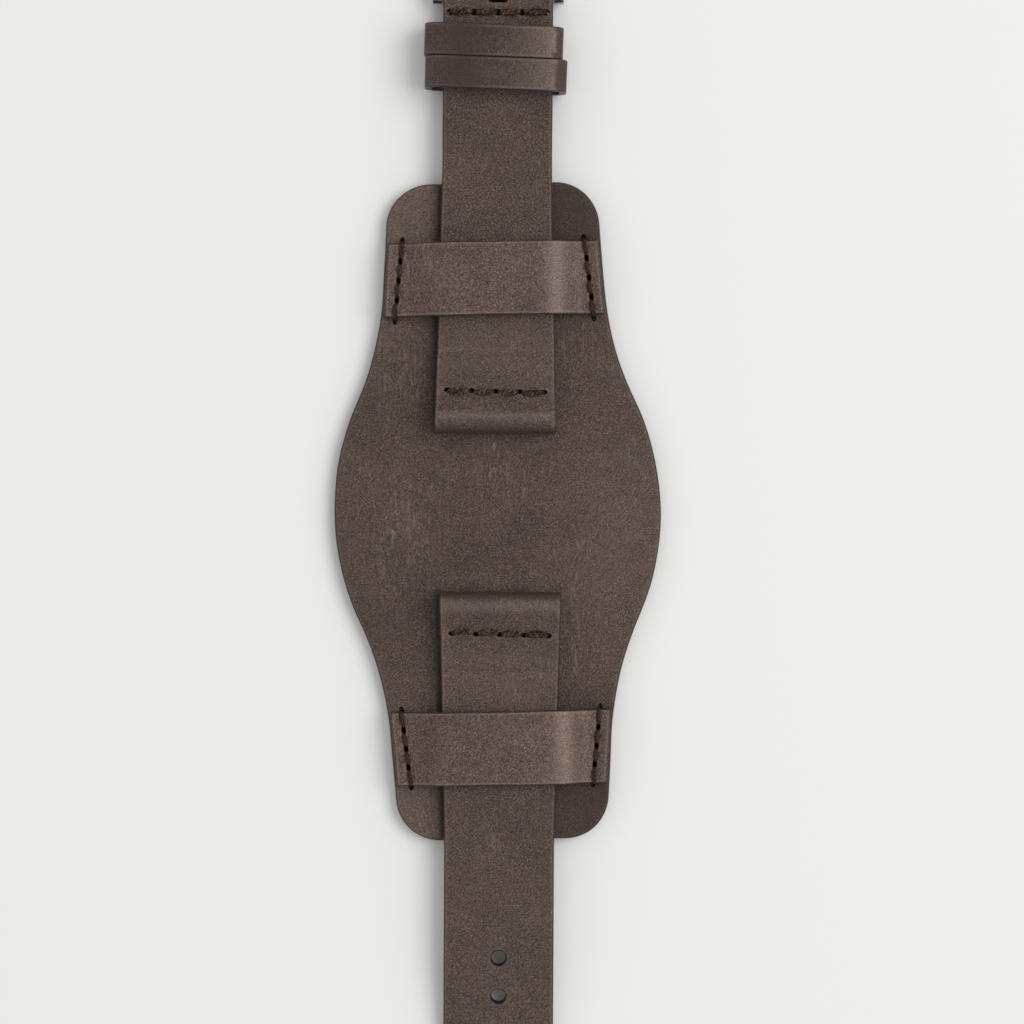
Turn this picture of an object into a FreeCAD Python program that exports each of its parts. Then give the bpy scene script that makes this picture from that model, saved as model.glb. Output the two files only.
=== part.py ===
import FreeCAD, Part
import os
import math
import Sketcher
from FreeCAD import Placement, Rotation, Vector

# A bund watch strap, in millimetres.
# Z points away from the wrist, Y towards the buckle, X across the strap.
# The origin is the centre of the pad's underside.
# Two points nearer to each other than CLOSE count as one.

doc = FreeCAD.newDocument("BundStrap")
X_DIR = Vector(1, 0, 0)
Z_DIR = Vector(0, 0, 1)
CLOSE = 0.001

# Driving dimensions: cell alias, value in millimetres or degrees, what it measures
SIZES = [
    ("pad_thickness", 2.4, "thickness of the pad's leather"),
    ("pad_half_length", 53.85, "pad centre to its end"),
    ("pad_half_width", 26.8, "pad centre to its side, at the belly"),
    ("pad_belly_radius", 42.9, "round side under the watch"),
    ("pad_waist_radius", 54.1, "hollow between belly and end"),
    ("pad_shoulder_half_width", 17.5, "half width where the end corner starts"),
    ("pad_flank_angle", 3.7, "how much the flank narrows to the end, degrees"),
    ("pad_corner_radius", 7.3, "round corner of the pad's end"),
    ("pad_edge_bevel", 0.5, "bevelled and burnished upper edge"),
    ("slide_gap", 0.1, "pad to the strap that slides on it"),
    ("strap_thickness", 2.0, "thickness of the strap's leather"),
    ("strap_lug_width", 20.0, "strap width at the watch lugs"),
    ("strap_buckle_width", 18.0, "strap width at buckle and tail"),
    ("strap_taper_length", 42.0, "lug fold to the end of the taper"),
    ("lug_fold_place", 13.1, "pad centre to the edge of each lug fold"),
    ("lug_tunnel_radius", 0.95, "bore for the watch's own spring bar"),
    ("lug_wall", 1.45, "skived leather round that bore"),
    ("lug_row_setback", 6.75, "lug fold's edge to its stitch row"),
    ("lug_flap_length", 11.0, "lug fold's edge to the end of the turned-back flap"),
    ("lug_flap_thickness", 1.2, "flap at the stitch row"),
    ("lug_flap_end_thickness", 0.7, "flap at its skived end"),
    ("lug_flap_run_out", 2.75, "flap's end to where the strap lies flat"),
    ("bar_place", 84.9, "pad centre to the spring bar of the buckle"),
    ("bar_radius", 0.75, "outside of the spring bar's tube"),
    ("bar_bore_radius", 0.55, "inside of that tube"),
    ("bar_tube_length", 16.6, "length of that tube"),
    ("bar_tunnel_gap", 0.1, "spring bar to the leather round it"),
    ("bar_wall", 1.4, "leather round the spring bar"),
    ("buckle_row_setback", 3.2, "spring bar to the buckle end's stitch row"),
    ("buckle_flap_length", 17.2, "spring bar to the end of the flap underneath"),
    ("buckle_flap_thickness", 1.1, "that flap at the stitch row"),
    ("buckle_flap_end_thickness", 0.8, "that flap at its end"),
    ("tongue_slot_width", 3.2, "slot in the fold for the tongue"),
    ("tongue_slot_back", 1.9, "spring bar to the slot's inner end"),
    ("tail_droop_start", 67.0, "pad centre to where the tail starts to sink"),
    ("tail_droop_end", 95.0, "pad centre to where the tail lies on the table"),
    ("tail_tip_place", 132.5, "pad centre to the tail's tip"),
    ("tail_tip_radius", 13.0, "two arcs that make the tail's tip"),
    ("tail_tip_blunt", 2.0, "half width of the tip's short straight end"),
    ("hole_radius", 1.15, "adjustment holes"),
    ("first_hole_place", 73.0, "pad centre to the first hole"),
    ("hole_pitch", 6.25, "hole to hole"),
    ("hole_count", 7, "number of adjustment holes"),
    ("band_setback", 15.45, "pad's end to the middle of a bridge band"),
    ("band_width", 12.1, "width of a bridge band"),
    ("band_thickness", 1.5, "thickness of a bridge band"),
    ("band_inset", 0.45, "band's end to the pad's edge"),
    ("band_headroom", 0.3, "strap to the band above it"),
    ("band_side_room", 0.5, "strap's side to where the band is at full height"),
    ("band_rise_run", 3.5, "width over which the band rises"),
    ("band_bend_radius", 2.6, "outer bends of the band"),
    ("band_row_place", 15.58, "pad's long axis to the middle of a band's stitch row"),
    ("band_row_offset", 0.37, "band's middle to that middle, towards the watch"),
    ("band_row_lean", 6.2, "stitch row to the long axis, degrees"),
    ("band_row_pitch", 3.33, "stitch length on the bands"),
    ("strap_row_pitch", 3.92, "stitch length on the strap"),
    ("row_holes", 5, "holes in each stitch row"),
    ("band_thread_width", 0.85, "waxed thread on the bands"),
    ("strap_thread_width", 1.0, "waxed thread on the strap"),
    ("back_thread_width", 0.6, "thread pulled flat underneath"),
    ("thread_gap", 0.1, "thread to the leather beside it"),
    ("slit_length", 1.7, "slit of the pricking iron, along the row"),
    ("slit_width", 0.9, "width of that slit"),
    ("band_thread_sink", 0.5, "how deep the thread lies in the bands"),
    ("strap_thread_sink", 0.4, "how deep the thread lies in the strap"),
    ("back_groove_depth", 0.7, "groove underneath that hides the thread"),
    ("keeper_width", 5.3, "width of a keeper loop, along the strap"),
    ("keeper_wall", 1.2, "thickness of its leather"),
    ("keeper_side_room", 1.1, "strap's side to the inside of the loop"),
    ("keeper_corner_radius", 2.4, "outer corner of the loop"),
    ("keeper_skew", -2.4, "how far the loops have turned on the strap, degrees"),
    ("lower_keeper_place", 71.6, "pad centre to the lower loop"),
    ("keeper_gap", 0.2, "one loop to the other"),
    ("buckle_lug_gap", 0.2, "strap's side to the buckle's lug"),
    ("buckle_lug_thickness", 1.5, "thickness of each lug"),
    ("buckle_lug_radius", 1.75, "round end of the lug"),
    ("buckle_hole_depth", 1.0, "blind hole for the spring bar's tip"),
    ("buckle_hole_gap", 0.05, "tip to that hole's wall"),
    ("buckle_thickness", 2.2, "thickness of the frame"),
    ("buckle_flare_start", 3.2, "spring bar to where the frame widens"),
    ("buckle_flare_end", 7.0, "spring bar to where it is widest"),
    ("buckle_half_width", 12.3, "half of the frame's greatest width"),
    ("buckle_window_half_width", 9.9, "half width of the window at the front bar"),
    ("buckle_window_length", 9.3, "spring bar to the front bar"),
    ("buckle_front_bar", 2.6, "front bar, along the strap"),
    ("buckle_corner_radius", 3.0, "outer corners of the frame"),
    ("buckle_window_radius", 1.4, "corners of the window"),
    ("buckle_edge_rounding", 0.5, "polished edges of the frame"),
    ("tongue_notch_depth", 0.4, "notch that the tongue lies in"),
    ("tongue_width", 1.9, "width of the tongue's shank"),
    ("tongue_side_gap", 0.25, "tongue to the notch's side"),
    ("tongue_ring_width", 2.4, "width of the ring round the spring bar"),
    ("tongue_ring_gap", 0.05, "ring to the spring bar"),
    ("tongue_ring_wall", 0.6, "wall of that ring"),
    ("tongue_height", 1.2, "height of the shank"),
    ("tongue_overhang", 0.5, "tongue's tip past the front bar"),
    ("tongue_rest_gap", 0.05, "tongue to the notch's floor"),
    ("tip_body_radius", 0.48, "spring bar plunger inside the tube"),
    ("tip_radius", 0.4, "spring bar tip in the lug's hole"),
    ("tip_reach", 0.9, "how far the tip stands in the hole"),
    ("tip_shoulder_gap", 0.25, "lug's inside to the plunger's shoulder"),
    ("tip_body_length", 3.1, "length of the plunger behind its shoulder"),
    ("tip_chamfer", 0.15, "bevelled end of the tip"),
    ("spring_wire_radius", 0.1, "wire of the coil spring"),
    ("spring_side_gap", 0.05, "coil to the tube's bore"),
    ("spring_end_gap", 0.05, "coil to the plunger"),
    ("spring_turns", 6, "turns of the coil"),
]

# Places and sizes that follow from the driving dimensions
PLACES = [
    ("strap_base", "pad_thickness + slide_gap"),
    ("strap_top", "strap_base + strap_thickness"),
    ("lug_half_width", "strap_lug_width / 2"),
    ("buckle_end_half_width", "strap_buckle_width / 2"),
    ("taper_end", "lug_fold_place + strap_taper_length"),
    ("trim_side", "lug_half_width + strap_thickness"),
    ("lug_fold_radius", "lug_tunnel_radius + lug_wall"),
    ("lug_axis_place", "lug_fold_place + lug_fold_radius"),
    ("lug_axis_height", "strap_base + lug_fold_radius"),
    ("lug_row", "lug_fold_place + lug_row_setback"),
    ("lug_row_top", "strap_top + lug_flap_thickness"),
    ("lug_flap_end", "lug_fold_place + lug_flap_length"),
    ("lug_flap_end_top", "strap_base + lug_flap_end_thickness"),
    ("lug_step_top", "strap_top + lug_flap_end_thickness"),
    ("lug_flat_start", "lug_flap_end + lug_flap_run_out"),
    ("lug_run", "lug_row - lug_axis_place"),
    ("lug_rise", "lug_row_top - lug_axis_height"),
    ("lug_reach", "sqrt(lug_run * lug_run + lug_rise * lug_rise)"),
    ("lug_touch", "atan2(lug_rise; lug_run) + acos(lug_fold_radius / lug_reach)"),
    ("lug_touch_place", "lug_axis_place + lug_fold_radius * cos(lug_touch)"),
    ("lug_touch_height", "lug_axis_height + lug_fold_radius * sin(lug_touch)"),
    ("bar_tunnel_radius", "bar_radius + bar_tunnel_gap"),
    ("bar_fold_radius", "bar_tunnel_radius + bar_wall"),
    ("bar_height", "strap_top - bar_fold_radius"),
    ("buckle_row", "bar_place - buckle_row_setback"),
    ("buckle_row_bottom", "strap_base - buckle_flap_thickness"),
    ("buckle_flap_end", "bar_place - buckle_flap_length"),
    ("buckle_flap_end_bottom", "strap_base - buckle_flap_end_thickness"),
    ("buckle_drop", "bar_height - buckle_row_bottom"),
    ("buckle_reach", "sqrt(buckle_row_setback * buckle_row_setback + buckle_drop * buckle_drop)"),
    ("buckle_touch", "atan2(buckle_drop; buckle_row_setback) + acos(bar_fold_radius / buckle_reach)"),
    ("buckle_touch_place", "bar_place - bar_fold_radius * cos(buckle_touch)"),
    ("buckle_touch_height", "bar_height - bar_fold_radius * sin(buckle_touch)"),
    ("slot_half_width", "tongue_slot_width / 2"),
    ("slot_start", "bar_place - tongue_slot_back"),
    ("trim_end", "bar_place + bar_fold_radius + strap_thickness"),
    ("tail_droop_middle", "(tail_droop_start + tail_droop_end) / 2"),
    ("tail_middle_bottom", "strap_base / 2"),
    ("tail_middle_top", "tail_middle_bottom + strap_thickness"),
    ("tip_inset", "tail_tip_radius - buckle_end_half_width + tail_tip_blunt"),
    ("tail_tip_rise", "sqrt(tail_tip_radius * tail_tip_radius - tip_inset * tip_inset)"),
    ("tail_tip_start", "tail_tip_place - tail_tip_rise"),
    ("tail_trim_end", "tail_tip_place + strap_thickness"),
    ("band_place", "pad_half_length - band_setback"),
    ("band_row_shift", "band_place - band_row_offset"),
    ("band_half_width", "band_width / 2"),
    ("band_inner_edge", "band_place - band_half_width"),
    ("band_outer_edge", "band_place + band_half_width"),
    ("band_under", "strap_top + band_headroom"),
    ("band_over", "band_under + band_thickness"),
    ("band_flange_top", "pad_thickness + band_thickness"),
    ("band_strap_narrowing", "(lug_half_width - buckle_end_half_width)"
     " * (band_inner_edge - lug_fold_place) / strap_taper_length"),
    ("band_flat_half", "lug_half_width - band_strap_narrowing + band_side_room"),
    ("band_foot_half", "band_flat_half + band_rise_run"),
    ("band_slope", "atan2(band_under - pad_thickness; band_rise_run)"),
    ("band_bend_shift", "band_thickness * tan(band_slope / 2)"),
    ("band_flat_half_top", "band_flat_half + band_bend_shift"),
    ("band_foot_half_top", "band_foot_half + band_bend_shift"),
    ("band_inner_bend_radius", "band_bend_radius - band_thickness"),
    ("flank_slope", "tan(pad_flank_angle * 1 deg)"),
    ("flank_top", "pad_half_length - pad_corner_radius * (1 - sin(pad_flank_angle * 1 deg))"),
    ("band_end_outer", "pad_shoulder_half_width - band_inset"
     " + (flank_top - band_outer_edge) * flank_slope"),
    ("band_end_inner", "pad_shoulder_half_width - band_inset"
     " + (flank_top - band_inner_edge) * flank_slope"),
    ("band_blank_half", "band_end_inner + band_thickness"),
    ("band_trim_side", "band_blank_half + band_thickness"),
    ("slit_half_length", "slit_length / 2"),
    ("slit_half_width", "slit_width / 2"),
    ("plug_half_length", "slit_half_length - thread_gap"),
    ("plug_half_width", "slit_half_width - thread_gap"),
    ("stitch_seat", "thread_gap / 2"),
    ("band_row_half", "band_row_pitch * (row_holes - 1) / 2"),
    ("band_slit_far", "band_row_half + slit_half_length"),
    ("band_slit_near", "band_row_half - slit_half_length"),
    ("band_plug_far", "band_row_half + plug_half_length"),
    ("band_plug_near", "band_row_half - plug_half_length"),
    ("band_stitch_far", "band_row_half - thread_gap"),
    ("band_stitch_near", "band_row_half - band_row_pitch + thread_gap"),
    ("band_stitch_rise", "band_stitch_far - band_thread_width"),
    ("band_stitch_fall", "band_stitch_near + band_thread_width"),
    ("band_thread_half", "band_thread_width / 2"),
    ("band_groove_half", "band_thread_half + thread_gap"),
    ("band_row_turn", "band_row_lean - 90"),
    ("band_row_turn_left", "90 - band_row_lean"),
    ("band_groove_floor", "band_flange_top - band_thread_sink"),
    ("band_stitch_floor", "band_groove_floor + stitch_seat"),
    ("band_stitch_shoulder", "band_stitch_floor + band_thread_half"),
    ("band_stitch_top", "band_stitch_floor + band_thread_width"),
    ("back_thread_half", "back_thread_width / 2"),
    ("back_groove_half", "back_thread_half + thread_gap"),
    ("strap_row_half", "strap_row_pitch * (row_holes - 1) / 2"),
    ("strap_slit_far", "strap_row_half + slit_half_length"),
    ("strap_slit_near", "strap_row_half - slit_half_length"),
    ("strap_plug_far", "strap_row_half + plug_half_length"),
    ("strap_plug_near", "strap_row_half - plug_half_length"),
    ("strap_stitch_far", "strap_row_half - thread_gap"),
    ("strap_stitch_near", "strap_row_half - strap_row_pitch + thread_gap"),
    ("strap_stitch_rise", "strap_stitch_far - strap_thread_width"),
    ("strap_stitch_fall", "strap_stitch_near + strap_thread_width"),
    ("strap_thread_half", "strap_thread_width / 2"),
    ("strap_groove_half", "strap_thread_half + thread_gap"),
    ("lug_groove_floor", "lug_row_top - strap_thread_sink"),
    ("lug_stitch_floor", "lug_groove_floor + stitch_seat"),
    ("lug_stitch_shoulder", "lug_stitch_floor + strap_thread_half"),
    ("lug_stitch_top", "lug_stitch_floor + strap_thread_width"),
    ("lug_groove_roof", "strap_base + back_groove_depth"),
    ("lug_back_low", "strap_base + stitch_seat"),
    ("lug_back_high", "lug_back_low + back_thread_width"),
    ("buckle_groove_floor", "strap_top - strap_thread_sink"),
    ("buckle_stitch_floor", "buckle_groove_floor + stitch_seat"),
    ("buckle_stitch_shoulder", "buckle_stitch_floor + strap_thread_half"),
    ("buckle_stitch_top", "buckle_stitch_floor + strap_thread_width"),
    ("buckle_groove_roof", "buckle_row_bottom + back_groove_depth"),
    ("buckle_back_low", "buckle_row_bottom + stitch_seat"),
    ("buckle_back_high", "buckle_back_low + back_thread_width"),
    ("band_back_high", "stitch_seat + back_thread_width"),
    ("keeper_half_width", "keeper_width / 2"),
    ("keeper_inner_half", "buckle_end_half_width + keeper_side_room"),
    ("keeper_outer_half", "keeper_inner_half + keeper_wall"),
    ("keeper_roof", "strap_top + strap_thickness"),
    ("keeper_top", "keeper_roof + keeper_wall"),
    ("keeper_inner_corner", "keeper_corner_radius - keeper_wall"),
    ("upper_keeper_place", "lower_keeper_place + keeper_width + keeper_gap"),
    ("buckle_lug_inner", "buckle_end_half_width + buckle_lug_gap"),
    ("buckle_lug_outer", "buckle_lug_inner + buckle_lug_thickness"),
    ("buckle_clearing_radius", "buckle_lug_radius + buckle_lug_thickness"),
    ("buckle_half_thickness", "buckle_thickness / 2"),
    ("buckle_front", "buckle_window_length + buckle_front_bar"),
    ("buckle_hole_radius", "tip_radius + buckle_hole_gap"),
    ("buckle_hole_end", "buckle_lug_inner + buckle_hole_depth"),
    ("buckle_foot_reach", "sqrt(buckle_front * buckle_front"
     " + buckle_half_thickness * buckle_half_thickness)"),
    ("buckle_lean", "atan2(buckle_half_thickness; buckle_front) - asin(bar_height / buckle_foot_reach)"),
    ("notch_half_width", "tongue_width / 2 + tongue_side_gap"),
    ("notch_floor", "buckle_half_thickness - tongue_notch_depth"),
    ("tongue_half_width", "tongue_width / 2"),
    ("tongue_ring_half_width", "tongue_ring_width / 2"),
    ("tongue_bore_radius", "bar_radius + tongue_ring_gap"),
    ("tongue_ring_radius", "tongue_bore_radius + tongue_ring_wall"),
    ("tongue_root", "tongue_bore_radius + tongue_ring_wall / 2"),
    ("tongue_root_bottom", "tongue_ring_radius - tongue_height"),
    ("tongue_rest", "notch_floor + tongue_rest_gap"),
    ("tongue_rest_start", "buckle_window_length - tongue_height"),
    ("tongue_back", "tongue_rest + tongue_height"),
    ("tongue_tip", "buckle_front + tongue_overhang"),
    ("tongue_tip_start", "tongue_tip - tongue_height"),
    ("tongue_tip_top", "tongue_rest + tongue_height / 2"),
    ("tip_shoulder", "buckle_lug_inner - tip_shoulder_gap"),
    ("tip_end", "buckle_lug_inner + tip_reach"),
    ("tip_bevel", "tip_end - tip_chamfer"),
    ("tip_bevel_radius", "tip_radius - tip_chamfer"),
    ("tip_inner_end", "tip_shoulder - tip_body_length"),
    ("bar_tube_half", "bar_tube_length / 2"),
    ("spring_coil_radius", "bar_bore_radius - spring_side_gap - spring_wire_radius"),
    ("spring_half_length", "tip_inner_end - spring_end_gap - spring_wire_radius"),
    ("spring_length", "2 * spring_half_length"),
]


def fill_sheets():
    """Writes the driving sizes into one sheet, and the places that follow into another."""
    size_sheet = doc.addObject("Spreadsheet::Sheet", "Sizes")
    for row, (alias, number, meaning) in enumerate(SIZES, start=1):
        size_sheet.set("A%d" % row, meaning)
        size_sheet.set("B%d" % row, str(number))
        size_sheet.setAlias("B%d" % row, alias)
    doc.recompute()
    aliases = {alias for alias, number, meaning in SIZES}
    place_sheet = doc.addObject("Spreadsheet::Sheet", "Places")
    for row, (alias, formula) in enumerate(PLACES, start=1):
        spaced = formula.replace("(", "( ").replace(")", " )").replace(";", " ;")
        words = ["Sizes." + word if word in aliases else word for word in spaced.split(" ")]
        place_sheet.set("A%d" % row, alias.replace("_", " "))
        place_sheet.set("B%d" % row, "=" + " ".join(words))
        place_sheet.setAlias("B%d" % row, alias)
    doc.recompute()
    return size_sheet, place_sheet, aliases


sizes, places, driving = fill_sheets()


def cell(name):
    """The full name of a cell, for an expression, with its minus sign if it has one."""
    if name.startswith("-"):
        return "-" + cell(name[1:])
    return ("Sizes." if name in driving else "Places.") + name


def value(name):
    """The number in a cell."""
    if name == 0:
        return 0.0
    if name.startswith("-"):
        return -value(name[1:])
    number = getattr(sizes if name in driving else places, name)
    return float(getattr(number, "Value", number))


def origin_feature(body, role):
    """One of a body's own origin planes or axes."""
    return [feature for feature in body.Origin.OriginFeatures if feature.Role == role][0]


def new_body(label):
    """An empty body whose label is the sub-part's name."""
    body = doc.addObject("PartDesign::Body", label)
    body.Label = label
    return body


def new_sketch(body, name, plane, lift=None):
    """A sketch on an origin plane of the body, lifted along its normal by a cell."""
    sketch = body.newObject("Sketcher::SketchObject", name)
    sketch.AttachmentSupport = [(origin_feature(body, plane), "")]
    sketch.MapMode = "FlatFace"
    if lift:
        sketch.setExpression("AttachmentOffset.Base.z", cell(lift))
    return sketch


def row_sketch(body, name, row_x, row_y, turn=None, lift=None):
    """A flat sketch whose origin is the middle of a stitch row and whose H axis is the row."""
    sketch = new_sketch(body, name, "XY_Plane", lift)
    sketch.AttachmentOffset = Placement(Vector(0, 0, 0), Rotation(Z_DIR, value(turn) if turn else 0))
    if row_x != 0:
        sketch.setExpression("AttachmentOffset.Base.x", cell(row_x))
    sketch.setExpression("AttachmentOffset.Base.y", cell(row_y))
    if turn:
        sketch.setExpression("AttachmentOffset.Rotation.Angle", cell(turn))
    return sketch


def bind(sketch, kind, parts, name):
    """A sketch dimension that follows a cell."""
    index = sketch.addConstraint(Sketcher.Constraint(kind, *parts, value(name)))
    if name != 0:
        sketch.setExpression("Constraints[%d]" % index, cell(name))


def polygon(sketch, corners):
    """A closed outline, each corner set by two cells.

    The side that ends at a corner is straight, or an arc where a third cell gives the
    first coordinate of its centre.
    """
    count = len(corners)
    points = [Vector(value(corner[0]), value(corner[1]), 0) for corner in corners]
    first = len(sketch.Geometry)
    ends = []
    for i, corner in enumerate(corners):
        start, end = points[i - 1], points[i]
        if len(corner) == 2:
            sketch.addGeometry(Part.LineSegment(start, end), False)
            ends.append((1, 2))
            continue
        across = value(corner[2])
        squares = (start.x - across) ** 2 - (end.x - across) ** 2 + start.y ** 2 - end.y ** 2
        centre = Vector(across, squares / (2 * (start.y - end.y)), 0)
        from_angle, to_angle = [math.atan2(p.y - centre.y, p.x - centre.x) for p in (start, end)]
        forwards = (to_angle - from_angle) % (2 * math.pi) < math.pi
        if not forwards:
            from_angle, to_angle = to_angle, from_angle
        whole = Part.Circle(centre, Z_DIR, (start - centre).Length)
        sketch.addGeometry(Part.ArcOfCircle(whole, from_angle, to_angle), False)
        ends.append((1, 2) if forwards else (2, 1))
    for i, corner in enumerate(corners):
        side, after = first + i, first + (i + 1) % count
        arrives, leaves = ends[i][1], ends[(i + 1) % count][0]
        sketch.addConstraint(Sketcher.Constraint("Coincident", side, arrives, after, leaves))
        bind(sketch, "DistanceX", (-1, 1, side, arrives), corner[0])
        bind(sketch, "DistanceY", (-1, 1, side, arrives), corner[1])
        if len(corner) == 3:
            bind(sketch, "DistanceX", (-1, 1, side, 3), corner[2])


def rectangle(sketch, left, low, right, high):
    """An upright rectangle between four cells."""
    polygon(sketch, [(left, low), (right, low), (right, high), (left, high)])


def circle(sketch, x, y, radius):
    """A circle whose centre and radius are set by cells."""
    centre = Vector(value(x), value(y), 0)
    index = sketch.addGeometry(Part.Circle(centre, Z_DIR, value(radius)), False)
    bind(sketch, "DistanceX", (-1, 1, index, 3), x)
    bind(sketch, "DistanceY", (-1, 1, index, 3), y)
    bind(sketch, "Radius", (index,), radius)


def hexagon(sketch, x, y, radius):
    """Six equal sides in a circle whose centre and radius are set by cells."""
    angles = [math.radians(60 * side) for side in range(7)]
    centre, reach = Vector(value(x), value(y), 0), value(radius)
    corners = [centre + Vector(math.cos(angle), math.sin(angle), 0) * reach for angle in angles]
    for start, end in zip(corners, corners[1:]):
        sketch.addGeometry(Part.LineSegment(start, end), False)
    guide = sketch.addGeometry(Part.Circle(centre, Z_DIR, reach), True)
    for side in range(6):
        sketch.addConstraint(Sketcher.Constraint("Coincident", side, 2, (side + 1) % 6, 1))
        sketch.addConstraint(Sketcher.Constraint("PointOnObject", side, 1, guide))
        if side:
            sketch.addConstraint(Sketcher.Constraint("Equal", 0, side))
    sketch.addConstraint(Sketcher.Constraint("Horizontal", 1))
    bind(sketch, "DistanceX", (-1, 1, guide, 3), x)
    bind(sketch, "DistanceY", (-1, 1, guide, 3), y)
    bind(sketch, "Radius", (guide,), radius)


def pad(body, sketch, name, length, symmetric=True):
    """Raises a sketch to a solid; a symmetric one is given by its half length."""
    feature = body.newObject("PartDesign::Pad", name)
    feature.Profile = sketch
    if symmetric:
        feature.SideType = "Symmetric"
        feature.setExpression("Length", "2 * " + cell(length))
    else:
        feature.setExpression("Length", cell(length))
    doc.recompute()
    return feature


def pocket(body, sketch, name, half_depth=None, both_ways=False, upwards=False):
    """Cuts a sketch right through the body, or by a half depth to each side."""
    feature = body.newObject("PartDesign::Pocket", name)
    feature.Profile = sketch
    before = body.Shape.Volume
    if both_ways or half_depth:
        feature.SideType = "Symmetric"
    if half_depth:
        feature.setExpression("Length", "2 * " + cell(half_depth))
    else:
        feature.Type = "ThroughAll"
    feature.Reversed = upwards
    doc.recompute()
    if feature.Shape.Volume >= before:
        print("nothing was cut by", body.Label, name)
    return feature


def repeat(body, originals, name, planes=(), row=None, pitch=None, fewer=0):
    """Repeats features along a row sketch's axis, and mirrors them on origin planes."""
    feature = body.newObject("PartDesign::MultiTransform", name)
    feature.Originals = originals
    steps = []
    if row:
        line = body.newObject("PartDesign::LinearPattern", name + "Row")
        line.Direction = (row, ["H_Axis"])
        line.setExpression("Length", "%s * (Sizes.row_holes - 1 - %d)" % (cell(pitch), fewer))
        line.setExpression("Occurrences", "Sizes.row_holes - %d" % fewer)
        steps.append(line)
    for plane in planes:
        mirror = body.newObject("PartDesign::Mirrored", name + plane[:2])
        mirror.MirrorPlane = (origin_feature(body, plane), [""])
        steps.append(mirror)
    feature.Transformations = steps
    body.Tip = feature
    doc.recompute()
    return feature


def edges_where(feature, wanted):
    """The names of a feature's edges for which a test of both ends holds."""
    names = []
    for number, edge in enumerate(feature.Shape.Edges, start=1):
        if wanted(edge.valueAt(edge.FirstParameter), edge.valueAt(edge.LastParameter)):
            names.append("Edge%d" % number)
    return names


def edges_along(feature, axis, spots):
    """Edges along X, Y or Z that stand on spots given by cells in the other two axes."""
    first, second = [name for name in "xyz" if name != axis]
    targets = [(value(a), value(b)) for a, b in spots]

    def is_at(point, target):
        across, along = getattr(point, first) - target[0], getattr(point, second) - target[1]
        return max(abs(across), abs(along)) < CLOSE

    return edges_where(feature, lambda a, b: any(is_at(a, spot) and is_at(b, spot) for spot in targets))


def fillet(body, feature, name, edges, radius):
    """Rounds edges by a cell's radius."""
    rounding = body.newObject("PartDesign::Fillet", name)
    rounding.Base = (feature, edges)
    rounding.setExpression("Radius", cell(radius))
    doc.recompute()
    return rounding


def bevel(body, feature, name, edges, size):
    """Bevels edges by a cell's size."""
    chamfer = body.newObject("PartDesign::Chamfer", name)
    chamfer.Base = (feature, edges)
    chamfer.setExpression("Size", cell(size))
    doc.recompute()
    return chamfer


def place(body, x=0, y=0, z=0, turn_axis=Z_DIR, turn=None):
    """Sets a body's Placement, bound to the cells that it comes from."""
    turned = Rotation(turn_axis, value(turn) if turn else 0)
    body.Placement = Placement(Vector(value(x), value(y), value(z)), turned)
    for axis, name in (("x", x), ("y", y), ("z", z)):
        if name != 0:
            body.setExpression("Placement.Base.%s" % axis, cell(name))
    if turn:
        body.setExpression("Placement.Rotation.Angle", cell(turn))


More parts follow.
